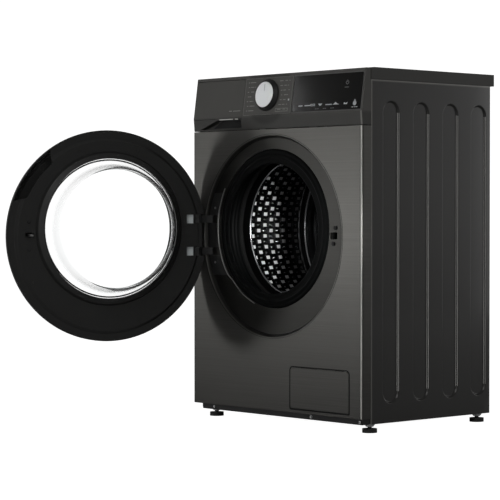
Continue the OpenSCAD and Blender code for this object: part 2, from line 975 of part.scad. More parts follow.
module door_frame() {
    outside = [[0, door_front_y], [238, door_front_y], [248, -32.5], [255, -24], [door_r, -13]];
    color([0.10, 0.10, 0.10])
        in_frame()
            opened()
                difference() {
                    union() {
                        turned_y(axis_x, door_z, concat(outside, [[door_r, rim_back_y],
                            [door_r - 3, rim_back_y], [door_r - 3, -12.6], [252.4, -22.5], [246, -30],
                            [237.5, door_front_y + 3], [0, door_front_y + 3]]));
                        // Wall that closes the rim beside the hinge
                        intersection() {
                            turned_y(axis_x, door_z, concat(outside, [[door_r, -6.3], [0, -6.3]]));
                            hinge_relief(3);
                        }
                    }
                    rod_y(axis_x, axis_z, -40, 10, glass_r + 3);
                    hinge_pocket();
                    hinge_relief();
                }
}

module door_inner_frame() {
    color([0.10, 0.10, 0.10])
        in_frame()
            opened() {
                difference() {
                    union() {
                        turned_y(axis_x, door_z, [[0, boss_y - 3], [230.5, boss_y - 3], [237, -6],
                            [door_r - 3.2, -6], [door_r - 3.2, rim_back_y], [240, rim_back_y],
                            [233, boss_y], [0, boss_y]]);
                        turned_y(axis_x, axis_z, [[171, 13.5], [181.5, 11], [185, boss_y - 2],
                            [191, boss_y - 2], [191, boss_y], [189, boss_y], [184, 13], [171, 17]]);
                    }
                    rod_y(axis_x, axis_z, -10, boss_y - 1.9, 185);
                    rod_y(axis_x, axis_z, -10, 10.9, 181.5);
                    rod_y(axis_x, axis_z, -10, 30, 171);
                    plate_y(pull_outline(228), -10, 10);
                    box([hook_x - 9, -10, hook_z - 6.5], [hook_x + 9, 9, hook_z + 6.5]);
                    for (z = arm_z)
                        box([-235, -10, z - 11], [-215, 9, z + 11]);
                    hinge_pocket();
                    hinge_relief();
                }
                // Posts and pin for the hook
                for (s = [-1, 1])
                    box([hook_x - 4, hook_y - 4, hook_z + s * 9 - 2],
                        [hook_x + 4, 1.2, hook_z + s * 9 + 2]);
                translate([hook_x, hook_y, hook_z - 9])
                    cylinder(h = 18, r = 1.5);
            }
}

module door_glass() {
    color([0.8, 0.9, 0.92, 0.35])
        in_frame()
            opened()
                turned_y(axis_x, axis_z, [[179.5, 4], [179.5, 9], [glass_r, 9], [glass_r - 0.5, 13],
                    [163, 20], [157.5, 27], [155.5, 34], [153, 50], [150, 64], [146, 74], [136, 79],
                    [0, 81], [0, 77], [134, 75], [142.5, 71], [146, 62], [149, 49], [151.5, 33.5],
                    [153.5, 26], [159, 18], [165.5, 11.5], [165.5, 4]]);
}

module door_hinge_plate() {
    color(steel)
        in_frame()
            opened()
                difference() {
                    union() {
                        box([-237, -9.6, arm_z[0] - 24], [-208, -7, arm_z[1] + 24]);
                        translate([0, 0, arm_z[0] + 10])
                            linear_extrude(arm_z[1] - arm_z[0] - 20)
                                polygon([[-258, -15.4], [-246.5, -13.6], [-236, -9.6],
                                    [-236, -7], [-258, -4.6]]);
                        translate([hinge_x, hinge_y, arm_z[0] + 10])
                            cylinder(h = arm_z[1] - arm_z[0] - 20, r = 5.4);
                    }
                    translate([hinge_x, hinge_y, 380])
                        cylinder(h = 160, r = pin_r + running_gap);
                }
}

module door_screws() {
    color([0.2, 0.2, 0.2])
        in_frame()
            opened() {
                for (s = [-1, 1])
                    rod_y(hook_x, hook_z + s * 34, boss_y + 0.1, boss_y + 1.3, 3.6);
                for (a = [70, 110, 250, 290, 330])
                    rod_y(axis_x + 222 * cos(a), door_z + 222 * sin(a), boss_y + 0.1, boss_y + 1.3, 3.2);
            }
}

module door_hook() {
    color(steel)
        in_frame()
            opened()
                difference() {
                    translate([0, 0, hook_z - 2.5])
                        linear_extrude(5)
                            polygon([[hook_x - 4, hook_y - 4], [hook_x + 4, hook_y - 4], [hook_x + 4, 27],
                                [hook_x - 1, 28], [hook_x - 7, 22], [hook_x - 7, 19.5], [hook_x - 2, 19.5],
                                [hook_x - 4, 4]]);
                    translate([hook_x, hook_y, hook_z - 5])
                        cylinder(h = 10, r = 1.5 + running_gap);
                }
}

// Side view of the drawer front, set behind the leaning face of the control panel
function drawer_side() = let (
    low = drawer_low + 0.6,
    high = drawer_high,
    y_low = fascia_bend_y,
    y_high = fascia_bend_y + (high - fascia_bend_z) * tan(lean))
    [[y_low + 0.2, low], [y_low, fascia_bend_z], [y_high, high], [y_high + 10, high], [21, 814],
        [21, low]];

module detergent_drawer() {
    left = drawer_left;
    right = seam_x - 4;
    color(body_grey)
        in_frame()
            difference() {
                union() {
                    plate_x(drawer_side(), -half_w + fascia_wall + 0.4, seam_x - 0.5);
                    box([left, 20, drawer_low + 1.5], [right, 284, 805]);
                }
                for (bay = [[left + 2, left + 52], [left + 54, left + 104], [left + 106, right - 2]])
                    box([bay[0], 24, drawer_low + 4], [bay[1], 282, 806]);
            }
}

module knob_skirt() {
    color(black)
        in_frame()
            on_fascia()
                along_y(knob_x, knob_up)
                    rotate_extrude()
                        polygon([[0, 14], [shaft_r, 14], [shaft_r, -4], [knob_skirt_r - 2, -4],
                            [knob_skirt_r - 2, -1.4], [knob_skirt_r, -1.4], [knob_skirt_r, -4],
                            [knob_face_r + 1, -knob_h + 1], [knob_face_r + 0.2, -knob_h],
                            [knob_face_r + 0.2, -knob_h + 2], [0, -knob_h + 2]]);
}

module knob_face() {
    color([0.8, 0.8, 0.8])
        in_frame()
            on_fascia()
                along_y(knob_x, knob_up)
                    rotate_extrude()
                        polygon([[0, -knob_h + 1.9], [0, -knob_h], [knob_face_r - 1, -knob_h],
                            [knob_face_r, -knob_h + 0.8], [knob_face_r, -knob_h + 1.9]]);
}

module filter_flap() {
    color(body_grey)
        in_frame() {
            plate_y(arch_rect(flap_left + 0.9, 45.6, flap_right - 0.9, 143, 6, 8.4), -0.4, 1.4);
            for (x = [flap_left + 5, flap_right - 9])
                box([x, 1.3, 48], [x + 4, 5.2, 52]);
            for (x = [flap_left - 3.4, flap_right - 8])
                translate([x, flap_pin_y, flap_pin_z])
                    rotate([0, 90, 0])
                        cylinder(h = 11.4, r = 1.5);
        }
}

module filter_cap() {
    color(grey_plastic)
        in_frame() {
            rod_y(pump_x, pump_z, 9, 11.6, 32);
            rod_y(pump_x, pump_z, 11.5, 34, pump_bore_r - 0.08);
            box([pump_x - 25, 3.4, pump_z - 4], [pump_x + 25, 9.2, pump_z + 4]);
        }
}

// Foot pad with its levelling stud
module foot(x, y) {
    color(black)
        in_frame()
            translate([x, y, 0]) {
                cylinder(h = 9.5, r = pad_r);
                translate([0, 0, 9])
                    cylinder(h = 51, r = 5);
            }
}

module front_left_foot() {
    foot(-foot_x, foot_front);
}

module front_right_foot() {
    foot(foot_x, foot_front);
}

module rear_left_foot() {
    foot(-foot_x, foot_rear);
}

module rear_right_foot() {
    foot(foot_x, foot_rear);
}

left_side_panel();
right_side_panel();
rear_panel();
rear_access_cover();
base_pan();
worktop();
upper_frame();
front_panel();
hinge_cover();
hinge_bracket();
door_lock();
gasket();
control_panel();
program_plate();
display_window();
control_board();
drawer_housing();
inlet_valve();
fill_hose();
pump_housing();
drain_hose();
drain_outlet();
power_gland();
sump_hose();
suspension_springs();
damper_cylinders();
foot_nuts();
panel_screws();
tub_front();
tub_rear();
front_counterweight();
top_counterweight();
heater();
bearings();
motor_body();
damper_rods();
drive_belt();
drum_shell();
drum_back();
drum_lifters();
drum_spider();
drum_shaft();
drum_pulley();
motor_rotor();
pump_impeller();
door_frame();
door_inner_frame();
door_glass();
door_hinge_plate();
door_screws();
door_hook();
detergent_drawer();
knob_skirt();
knob_face();
filter_flap();
filter_cap();
front_left_foot();
front_right_foot();
rear_left_foot();
rear_right_foot();
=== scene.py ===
"""Looks of the front load washing machine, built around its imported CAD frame."""
import math

import bmesh
import bpy
from mathutils import Matrix, Vector


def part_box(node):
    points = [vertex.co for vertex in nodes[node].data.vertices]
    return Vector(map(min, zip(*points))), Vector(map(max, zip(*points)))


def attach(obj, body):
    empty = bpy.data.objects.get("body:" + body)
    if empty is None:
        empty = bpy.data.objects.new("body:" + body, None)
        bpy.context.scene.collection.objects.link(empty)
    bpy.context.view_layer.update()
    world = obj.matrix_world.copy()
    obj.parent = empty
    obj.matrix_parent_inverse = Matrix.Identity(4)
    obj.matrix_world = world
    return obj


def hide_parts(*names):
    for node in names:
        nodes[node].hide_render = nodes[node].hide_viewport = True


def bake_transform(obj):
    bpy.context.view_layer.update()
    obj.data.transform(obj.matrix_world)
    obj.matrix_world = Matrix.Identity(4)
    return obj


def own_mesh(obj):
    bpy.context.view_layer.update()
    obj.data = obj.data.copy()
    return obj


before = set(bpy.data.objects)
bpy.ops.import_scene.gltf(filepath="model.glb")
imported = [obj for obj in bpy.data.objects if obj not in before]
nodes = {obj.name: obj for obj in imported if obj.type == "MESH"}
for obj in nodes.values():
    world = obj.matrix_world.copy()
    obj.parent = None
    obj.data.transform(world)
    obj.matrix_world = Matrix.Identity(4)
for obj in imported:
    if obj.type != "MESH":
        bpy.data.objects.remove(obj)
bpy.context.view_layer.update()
scene = bpy.context.scene
MM = 0.001
# Places closer together than this, in millimetres, count as one
TINY = 1e-4

# ---------------------------------------------------------------- places taken from the frame


def low(node):
    return Vector(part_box(node)[0])


def high(node):
    return Vector(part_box(node)[1])


def middle(node):
    return (low(node) + high(node)) / 2


PANEL_Y = low("front_panel").y
DRUM_X = middle("drum_pulley").x
DRUM_Z = middle("drum_pulley").z
DRUM_R = (high("drum_shell").x - low("drum_shell").x) / 2
DRUM_FRONT = low("drum_shell").y
DRUM_BACK = high("drum_back").y
DRUM_MOUTH_R = 165 * MM
DOOR_Z = 456 * MM
HALF_WIDTH = high("right_side_panel").x
HINGE_LINE = Vector((-0.258, PANEL_Y - 0.010, 0))
DOOR_ANGLE = -109
DOOR_TURN = (Matrix.Translation(HINGE_LINE) @ Matrix.Rotation(math.radians(DOOR_ANGLE), 4, "Z")
             @ Matrix.Translation(-HINGE_LINE))
FASCIA_LEAN = math.atan2(14.3, 101)
BAND_LEAN = 0.087
# In millimetres, as at() takes them: the door recess's radius and the place of the control panel's bend
RECESS_R = 243.8
BEND_Y = 0.8
BEND_Z = 747


def at(x, y, z):
    """A place given in millimetres, with y measured back from the front panel."""
    return Vector((x * MM, PANEL_Y + y * MM, z * MM))


def on_fascia(x, up, out):
    """A place on the leaning control panel: up from its bend and out of its face."""
    y = BEND_Y + up * math.sin(FASCIA_LEAN) - out * math.cos(FASCIA_LEAN)
    z = BEND_Z + up * math.cos(FASCIA_LEAN) + out * math.sin(FASCIA_LEAN)
    return at(x, y, z)


def on_lower_band(x, z, out):
    """A place on the part of the control panel below its bend."""
    return at(x, BEND_Y + (BEND_Z - z) * BAND_LEAN - out, z)


# ---------------------------------------------------------------- camera

CAMERA_PLACE = (3.59685, -3.58464, 0.51666)
CAMERA_YAW = math.radians(47.7675)
CAMERA_PITCH = math.radians(1.0939)
CAMERA_LENS = 146.69


def add_camera():
    data = bpy.data.cameras.new("camera")
    data.lens = CAMERA_LENS
    data.sensor_width = 36
    data.clip_end = 50
    camera = bpy.data.objects.new("camera", data)
    camera.location = CAMERA_PLACE
    camera.rotation_euler = (math.pi / 2 - CAMERA_PITCH, 0, CAMERA_YAW)
    scene.collection.objects.link(camera)
    scene.camera = camera


# ---------------------------------------------------------------- materials


def srgb(*levels):
    """A display colour, 0 to 255, as the linear colour that a shader takes."""
    out = []
    for level in levels:
        c = level / 255
        out.append(c / 12.92 if c <= 0.04045 else ((c + 0.055) / 1.055) ** 2.4)
    return (*out, 1)


def shade(colour, factor):
    return (*[min(1, c * factor) for c in colour[:3]], 1)


def new_material(name):
    m = bpy.data.materials.new(name)
    m.use_nodes = True
    tree = m.node_tree
    return m, tree, tree.nodes["Principled BSDF"]


def object_place(tree, scale=(1, 1, 1), shift=(0, 0, 0)):
    """Coordinates in the row's own frame, shifted and then stretched along its axes."""
    place = tree.nodes.new("ShaderNodeTexCoord")
    moved = tree.nodes.new("ShaderNodeVectorMath")
    moved.operation = "SUBTRACT"
    moved.inputs[1].default_value = shift
    scaled = tree.nodes.new("ShaderNodeVectorMath")
    scaled.operation = "MULTIPLY"
    scaled.inputs[1].default_value = scale
    tree.links.new(place.outputs["Object"], moved.inputs[0])
    tree.links.new(moved.outputs[0], scaled.inputs[0])
    return scaled.outputs[0]


def noise(tree, scale, stretch=(1, 1, 1), detail=4, roughness=0.55):
    texture = tree.nodes.new("ShaderNodeTexNoise")
    texture.inputs["Scale"].default_value = scale
    texture.inputs["Detail"].default_value = detail
    texture.inputs["Roughness"].default_value = roughness
    tree.links.new(object_place(tree, stretch), texture.inputs["Vector"])
    return texture.outputs["Fac"]


def ramp(tree, value, stops):
    node = tree.nodes.new("ShaderNodeValToRGB")
    first, last = node.color_ramp.elements
    first.position, first.color = stops[0]
    last.position, last.color = stops[-1]
    for place, colour in stops[1:-1]:
        node.color_ramp.elements.new(place).color = colour
    tree.links.new(value, node.inputs["Fac"])
    return node.outputs["Color"]


def grey_levels(tree, value, levels):
    """Greys between pairs of a place from 0 to 1 and the level there."""
    return ramp(tree, value, [(place, (level, level, level, 1)) for place, level in levels])


def grey_ramp(tree, value, a, b, a_place=0.3, b_place=0.7):
    return grey_levels(tree, value, ((a_place, a), (b_place, b)))


def axes(tree, origin=(0, 0, 0)):
    """X, Y and Z of a place in the row's own frame, each measured from origin."""
    split = tree.nodes.new("ShaderNodeSeparateXYZ")
    tree.links.new(object_place(tree, (1, 1, 1), origin), split.inputs[0])
    return split.outputs


def distance_from(tree, origin, across):
    """Distance from a line through origin. The line follows the axis that has 0 in across."""
    length = tree.nodes.new("ShaderNodeVectorMath")
    length.operation = "LENGTH"
    tree.links.new(object_place(tree, across, origin), length.inputs[0])
    return length.outputs["Value"]


def mixed(tree, factor, first, second, blend="MIX"):
    """Two colours mixed. The factor and the colours may each be a socket or a plain value."""
    mix = tree.nodes.new("ShaderNodeMix")
    mix.data_type = "RGBA"
    mix.blend_type = blend
    for name, source in (("Factor", factor), ("A", first), ("B", second)):
        if isinstance(source, bpy.types.NodeSocket):
            tree.links.new(source, mix.inputs[name])
        else:
            mix.inputs[name].default_value = source
    return mix.outputs["Result"]


def multiply(tree, first, second):
    return mixed(tree, 1, first, second, "MULTIPLY")


def largest(tree, first, second):
    node = tree.nodes.new("ShaderNodeMath")
    node.operation = "MAXIMUM"
    tree.links.new(first, node.inputs[0])
    tree.links.new(second, node.inputs[1])
    return node.outputs[0]


def rounded_edges(tree, radius):
    node = tree.nodes.new("ShaderNodeBevel")
    node.samples = 4
    node.inputs["Radius"].default_value = radius
    return node.outputs["Normal"]


def bump(tree, value, strength, distance, edge=0.0):
    node = tree.nodes.new("ShaderNodeBump")
    node.inputs["Strength"].default_value = strength
    node.inputs["Distance"].default_value = distance
    tree.links.new(value, node.inputs["Height"])
    if edge:
        tree.links.new(rounded_edges(tree, edge), node.inputs["Normal"])
    return node.outputs["Normal"]


def surface(name, colour, rough, metallic=0.0, grain=900, stretch=(1, 1, 1), variation=0.06,
            bump_strength=0.15, bump_depth=0.2 * MM, rough_spread=0.05, coat=0.0, cloud=6,
            specular=0.5, edge=0.0):
    """A moulded, painted or metal surface: cloudy colour, fine grain in bump and roughness."""
    m, tree, shader = new_material(name)
    broad = noise(tree, cloud, detail=3)
    fine = noise(tree, grain, stretch, detail=3)
    stops = [(0.3, shade(colour, 1 - variation)), (0.7, shade(colour, 1 + variation))]
    tree.links.new(ramp(tree, broad, stops), shader.inputs["Base Color"])
    tree.links.new(grey_ramp(tree, fine, max(0.02, rough - rough_spread), min(1, rough + rough_spread)),
                   shader.inputs["Roughness"])
    tree.links.new(bump(tree, fine, bump_strength, bump_depth, edge), shader.inputs["Normal"])
    shader.inputs["Metallic"].default_value = metallic
    shader.inputs["Specular IOR Level"].default_value = specular
    if coat:
        shader.inputs["Coat Weight"].default_value = coat
        shader.inputs["Coat Roughness"].default_value = 0.08
    return m


# Where the ramp of painted shade across the recess starts, and the strength of that painted shade at
# places in X: full at the hinge side, weaker toward the lock, and none past the recess
RECESS_SHADE_START = -0.3
RECESS_SHADE = ((-0.264, 0), (-0.258, 1), (-0.24, 1), (-0.08, 0.76), (0.235, 0.76), (0.245, 0))
RECESS_SHADE_TONE = (0.12, 0.12, 0.11, 1)


def painted_shade_in_recess(tree, colour):
    """The colour, darkened by painted shade behind the front panel's plane, most of all at the hinge side.
    """
    place = axes(tree, (RECESS_SHADE_START, PANEL_Y, 0))
    behind_plane = grey_ramp(tree, place["Y"], 0, 1, 1.5 * MM, 4 * MM)
    across = grey_levels(tree, place["X"], [(x - RECESS_SHADE_START, level) for x, level in RECESS_SHADE])
    return mixed(tree, multiply(tree, behind_plane, across), colour, RECESS_SHADE_TONE, "MULTIPLY")


def painted_shade_below(tree, level, bottom, top):
    """Painted shade: a grey that falls from white at the height top to level at the height bottom."""
    return grey_ramp(tree, axes(tree)["Z"], level, 1, bottom, top)


def brushed_panel(name, colour):
    """Coated steel with fine level lines brushed along it."""
    rough = 0.36
    m, tree, shader = new_material(name)
    lines = noise(tree, 1, (3, 3, 700), detail=5, roughness=0.7)
    tint = ramp(tree, lines, [(0.25, shade(colour, 0.82)), (0.75, shade(colour, 1.18))])
    clouds = grey_ramp(tree, noise(tree, 3, detail=2), 0.94, 1)
    # The panel's tone is darkened toward the bottom and in the recess by painted shade
    tone = multiply(tree, multiply(tree, tint, clouds), painted_shade_below(tree, 0.66, 0.05, 0.46))
    tree.links.new(painted_shade_in_recess(tree, tone), shader.inputs["Base Color"])
    tree.links.new(grey_ramp(tree, lines, rough - 0.04, rough + 0.04), shader.inputs["Roughness"])
    tree.links.new(bump(tree, lines, 0.08, 0.05 * MM, 1.5 * MM), shader.inputs["Normal"])
    shader.inputs["Metallic"].default_value = 0.75
    return m


def recoloured(m, change, *values):
    """The look with its base colour passed through change(tree, colour, *values)."""
    tree = m.node_tree
    base = tree.nodes["Principled BSDF"].inputs["Base Color"]
    tree.links.new(change(tree, base.links[0].from_socket, *values), base)
    return m


def dark_round_pin(tree, colour, dark, reach):
    """The colour of the hinge plate, dark within reach of the hinge pin."""
    outside = grey_ramp(tree, distance_from(tree, HINGE_LINE, (1, 1, 0)), 0, 1, reach, reach + 1 * MM)
    return mixed(tree, outside, dark, colour)


# The heights over which the painted shade and highlight of the control panel's lower band end at its bend
BEND_FADE = ((BEND_Z - 1.5) * MM, (BEND_Z + 0.5) * MM)
KNOB_AXIS = (-0.030, 0, 0.806)


def painted_shade_under_knob(tree, colour):
    """Paints shade on the lower band of the control panel, and deeper shade in a round patch under the
    knob.
    """
    band = grey_ramp(tree, axes(tree)["Z"], 0.63, 1, *BEND_FADE)
    hollow = grey_ramp(tree, distance_from(tree, KNOB_AXIS, (1, 0, 1)), 0.55, 1, 74 * MM, 84 * MM)
    return multiply(tree, multiply(tree, colour, band), hollow)


def painted_edge_highlight(tree, colour, bright):
    """Paints a thin highlight along the front and top edges of the side sheets."""
    place = axes(tree, (0, PANEL_Y, 0))
    behind_line = grey_ramp(tree, place["Y"], 0, 1, (SIDE_Y[0] + 2) * MM, (SIDE_Y[0] + 2.4) * MM)
    below_line = grey_ramp(tree, place["Z"], 1, 0, (SIDE_Z[1] - 1.9) * MM, (SIDE_Z[1] - 1.5) * MM)
    return mixed(tree, multiply(tree, behind_line, below_line), bright, colour)


def painted_bend_highlight(tree, colour, bright):
    """Paints a highlight on the bend at the right end of the control panel's lower band."""
    place = axes(tree)
    levels = [(HALF_WIDTH - inset * MM, level) for inset, level in ((5, 1), (4.3, 0), (1.7, 0), (1, 1))]
    beside_line = grey_levels(tree, place["X"], levels)
    above_band = grey_ramp(tree, place["Z"], 0, 1, *BEND_FADE)
    return mixed(tree, largest(tree, beside_line, above_band), bright, colour)


def painted_shade_deep(tree, colour, level, near, far):
    """Paints shade on the drum's wall deeper in, fading in between two depths given as shares of the drum's
    length.
    """
    length = DRUM_BACK - DRUM_FRONT
    depth = axes(tree, (0, DRUM_FRONT, 0))["Y"]
    return multiply(tree, colour, grey_ramp(tree, depth, 1, level, near * length, far * length))


def clear_glass(name):
    """Glass with a faint tint and waves too slight to bend the light much."""
    m, tree, shader = new_material(name)
    waves = noise(tree, 9, detail=1)
    stops = [(0.3, (0.975, 0.99, 0.988, 1)), (0.7, (1, 1, 1, 1))]
    tree.links.new(ramp(tree, waves, stops), shader.inputs["Base Color"])
    tree.links.new(bump(tree, waves, 0.04, 0.5 * MM), shader.inputs["Normal"])
    shader.inputs["Transmission Weight"].default_value = 1
    shader.inputs["Roughness"].default_value = 0.0
    shader.inputs["IOR"].default_value = 1.4
    return m


def make_materials():
    return {
        "front": brushed_panel("front_brushed", srgb(89, 88, 85)),
        # The side sheets carry a painted highlight along their front and top edges
        "side": recoloured(surface("side_paint", srgb(42, 41, 39), 0.34, 0.3, 1400, coat=0.4,
                                   edge=1.2 * MM), painted_edge_highlight, srgb(118, 117, 113)),
        # A painted highlight on the rear walls of the side pockets
        "side_edge": surface("side_edge_painted_highlight", srgb(225, 224, 220), 0.3, 0.2, 1400),
        "worktop": surface("worktop_grey", srgb(62, 61, 58), 0.5, 0.1, 1800, edge=1 * MM),
        # Painted shade below the bend and under the knob, and a painted highlight at the band's right end
        "fascia": recoloured(recoloured(surface("fascia_grey", srgb(88, 87, 84), 0.5, 0.1, 2000,
                                                specular=0.3, edge=1.2 * MM), painted_shade_under_knob),
                             painted_bend_highlight, srgb(165, 164, 159)),
        "plate": surface("fascia_print", srgb(92, 91, 88), 0.5, 0.1, 2000, specular=0.3, edge=0.4 * MM),
        "display": surface("display_black", srgb(26, 26, 25), 0.1, 0, 300, variation=0.1,
                           bump_strength=0.02, rough_spread=0.02, specular=0.14),
        "black": surface("black_plastic", srgb(20, 20, 20), 0.42, 0, 1800),
        "door": surface("door_black", srgb(38, 38, 37), 0.36, 0, 1500, coat=0.08, edge=0.8 * MM),
        # A painted highlight for the bend at the front panel's right edge
        "corner": surface("corner_painted_highlight", srgb(190, 189, 184), 0.3, 0.5, 1500),
        "liner": surface("recess_black", srgb(10, 10, 10), 0.5, 0, 1500, specular=0.2),
        "gasket": surface("gasket_rubber", srgb(7, 8, 8), 0.5, 0, 700, variation=0.1, specular=0.06),
        "drum": surface("drum_steel", srgb(92, 93, 94), 0.2, 1, 500, (1, 0.05, 1), rough_spread=0.04),
        # The pads darken deeper in the drum by painted shade
        "pad": recoloured(surface("drum_pad_steel", srgb(240, 241, 242), 0.4, 0.3, 500, (1, 0.05, 1)),
                          painted_shade_deep, 0.13, 0.42, 0.74),
        "knob": surface("knob_silver", srgb(226, 228, 229), 0.36, 0.5, 1500),
        "hinge": recoloured(surface("hinge_steel", srgb(236, 243, 243), 0.4), dark_round_pin,
                            srgb(24, 24, 23), 22 * MM),
        "screw": surface("screw_steel", srgb(150, 150, 150), 0.35, 1, 900),
        "zinc": surface("galvanised", srgb(150, 152, 154), 0.4, 0.9, 60, variation=0.15, cloud=80),
        "base": surface("base_black", srgb(22, 22, 22), 0.6, 0, 900),
        "foot": surface("foot_black", srgb(38, 38, 37), 0.6, 0, 900),
        "grey": surface("grey_plastic", srgb(120, 122, 124), 0.5, 0, 1200),
        "tub": surface("tub_plastic", srgb(138, 140, 142), 0.6, 0, 900),
        "white": surface("white_plastic", srgb(222, 222, 218), 0.45, 0, 1200),
        "casting": surface("counterweight", srgb(96, 96, 94), 0.8, 0.2, 160, bump_strength=0.5,
                           bump_depth=1 * MM),
        "aluminium": surface("spider_aluminium", srgb(178, 180, 182), 0.45, 1, 400),
        "motor": surface("motor_aluminium", srgb(96, 98, 100), 0.5, 0.8, 300),
        "belt": surface("belt_rubber", srgb(20, 20, 20), 0.7, 0, 900),
        "board": surface("circuit_board", srgb(20, 76, 40), 0.45, 0, 500),
        "glass": clear_glass("door_glass"),
        "lip": surface("drum_lip_steel", srgb(200, 202, 204), 0.2, 1, 500, rough_spread=0.04),
        "lip_grey": surface("cover_lip_grey", srgb(120, 120, 118), 0.3, 0.6, 900),
        "nut": surface("nut_steel", srgb(250, 252, 252), 0.4, 0.0, 60, variation=0.15, cloud=80),
        "icon": surface("display_icon", srgb(112, 113, 113), 0.5, 0, 900),
        "label": surface("pocket_label_grey", srgb(200, 200, 196), 0.45, 0.2, 900),
        "knob_line": surface("knob_line_grey", srgb(150, 150, 150), 0.5, 0.3, 900),
        "mark": surface("print_grey", srgb(150, 150, 146), 0.6, 0, 900),
        "light": surface("display_light", srgb(215, 218, 220), 0.5, 0, 900),
    }


# The nodes that keep their CAD shape, by look
NODE_LOOKS = {
    "zinc": ["rear_panel", "rear_access_cover", "upper_frame"],
    "nut": ["foot_nuts"],
    "base": ["base_pan"],
    "worktop": ["worktop"],
    "front": ["front_panel", "filter_flap"],
    "black": ["hinge_cover", "drain_outlet", "power_gland", "knob_skirt", "tub_front"],
    "liner": ["hinge_bracket", "door_lock"],
    "fascia": ["control_panel", "detergent_drawer"],
    "plate": ["program_plate"],
    "display": ["display_window"],
    "board": ["control_board"],
    "white": ["drawer_housing", "inlet_valve", "pump_housing", "pump_impeller"],
    "grey": ["fill_hose", "drain_hose", "damper_cylinders", "damper_rods", "drum_lifters", "filter_cap"],
    "screw": ["panel_screws", "heater", "bearings", "drum_shaft", "motor_rotor", "door_hook"],
    "tub": ["tub_rear"],
    "casting": ["front_counterweight", "top_counterweight"],
    "motor": ["motor_body"],
    "belt": ["drive_belt"],
    "aluminium": ["drum_spider", "drum_pulley"],
    "door": ["door_frame", "door_inner_frame", "door_screws"],
    "hinge": ["door_hinge_plate"],
    "knob": ["knob_face"],
    "foot": ["front_left_foot", "front_right_foot", "rear_left_foot", "rear_right_foot"],
}


def paint(obj, *materials):
    if obj.data.materials:
        obj.data.materials.clear()
    for material in materials:
        obj.data.materials.append(material)


# ---------------------------------------------------------------- mesh building


def add_piece(name, mesh, materials, body):
    """A piece that moves with a body. One that is blended between two bodies has None here."""
    obj = bpy.data.objects.new(name, mesh)
    scene.collection.objects.link(obj)
    paint(obj, *materials)
    if body:
        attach(obj, body)
    return obj


def thicken(piece, thickness):
    """Gives a sheet its thickness, away from the side that shows."""
    solid = piece.modifiers.new("thickness", "SOLIDIFY")
    solid.thickness = thickness
    solid.offset = -1


def mesh_of(name, vertices, faces, sharp_above=30, second=()):
    """A smooth mesh whose edges stay crisp where its faces meet at more than sharp_above degrees.
    The faces numbered in second take the second material."""
    mesh = bpy.data.meshes.new(name)
    mesh.from_pydata(vertices, [], faces)
    for face in second:
        mesh.polygons[face].material_index = 1
    work = bmesh.new()
    work.from_mesh(mesh)
    bmesh.ops.remove_doubles(work, verts=work.verts, dist=1e-6)
    bmesh.ops.recalc_face_normals(work, faces=work.faces)
    work.to_mesh(mesh)
    work.free()
    mesh.shade_smooth()
    mesh.set_sharp_from_angle(angle=math.radians(sharp_above))
    return mesh


def revolved(profile, steps, place=None):
    """Vertices and faces of a closed profile of (radius, distance) turned about a line.
    The line is the drum's, unless place(radius, angle, distance) says otherwise."""
    if place is None:
        def place(r, a, y):
            return (DRUM_X + r * math.cos(a), y, DRUM_Z + r * math.sin(a))
    count = len(profile)
    vertices = [place(r, 2 * math.pi * i / steps, along) for i in range(steps) for r, along in profile]
    faces = []
    for i in range(steps):
        j = (i + 1) % steps
        for k in range(count):
            n = (k + 1) % count
            faces.append((i * count + k, i * count + n, j * count + n, j * count + k))
    return vertices, faces


def tube(points, radius, reference, sides=8):
    """Vertices and faces of a round bar along points; reference is never in line with it."""
    vertices = []
    faces = []
    for i, point in enumerate(points):
        along = (points[min(i + 1, len(points) - 1)] - points[max(i - 1, 0)]).normalized()
        across = along.cross(reference).normalized()
        third = across.cross(along)
        for k in range(sides):
            a = 2 * math.pi * k / sides
            vertices.append(point + radius * (math.cos(a) * across + math.sin(a) * third))
    for i in range(len(points) - 1):
        for k in range(sides):
            n = (k + 1) % sides
            faces.append((i * sides + k, i * sides + n, (i + 1) * sides + n, (i + 1) * sides + k))
    faces.append(tuple(range(sides)))
    faces.append(tuple(range(len(vertices) - sides, len(vertices))))
    return vertices, faces


def joined(parts):
    """Several sets of vertices and faces as one."""
    vertices = []
    faces = []
    for part_vertices, part_faces in parts:
        start = len(vertices)
        vertices.extend(part_vertices)
        faces.extend(tuple(start + k for k in face) for face in part_faces)
    return vertices, faces


def smooth_path(points, rounds=3, closed=True):
    """Points of an outline with its corners cut into curves."""
    for _ in range(rounds):
        pairs = zip(points, points[1:] + (points[:1] if closed else []))
        cut = [tuple(a[i] + (b[i] - a[i]) * t for i in range(len(a)))
               for a, b in pairs for t in (0.25, 0.75)]
        points = cut if closed else [points[0]] + cut + [points[-1]]
    return points


def ring_faces(first, second):
    """Faces between two rings of as many vertices, given by their numbers."""
    count = len(first)
    return [(first[i], first[(i + 1) % count], second[(i + 1) % count], second[i]) for i in range(count)]


def slab(lower, upper):
    """Vertices and faces of the solid between two outlines of as many points."""
    count = len(lower)
    first = tuple(range(count))
    second = tuple(range(count, 2 * count))
    return list(lower) + list(upper), ring_faces(first, second) + [first, second]


def bar(x0, z0, x1, z1):
    return [(x0, z0), (x1, z0), (x1, z1), (x0, z1)]


def arc_band(x, z, r, width, a0, a1, steps=16):
    """Outline of part of a ring, between two angles in degrees."""
    angles = [math.radians(a0 + (a1 - a0) * i / steps) for i in range(steps + 1)]
    return ([(x + r * math.cos(a), z + r * math.sin(a)) for a in angles]
            + [(x + (r - width) * math.cos(a), z + (r - width) * math.sin(a)) for a in reversed(angles)])


def round_band(x, z, r, width, start=0):
    """Outlines of the two halves of a ring, or of a disc when its width is almost its radius."""
    return [arc_band(x, z, r, width, a, a + 180) for a in (start, start + 180)]


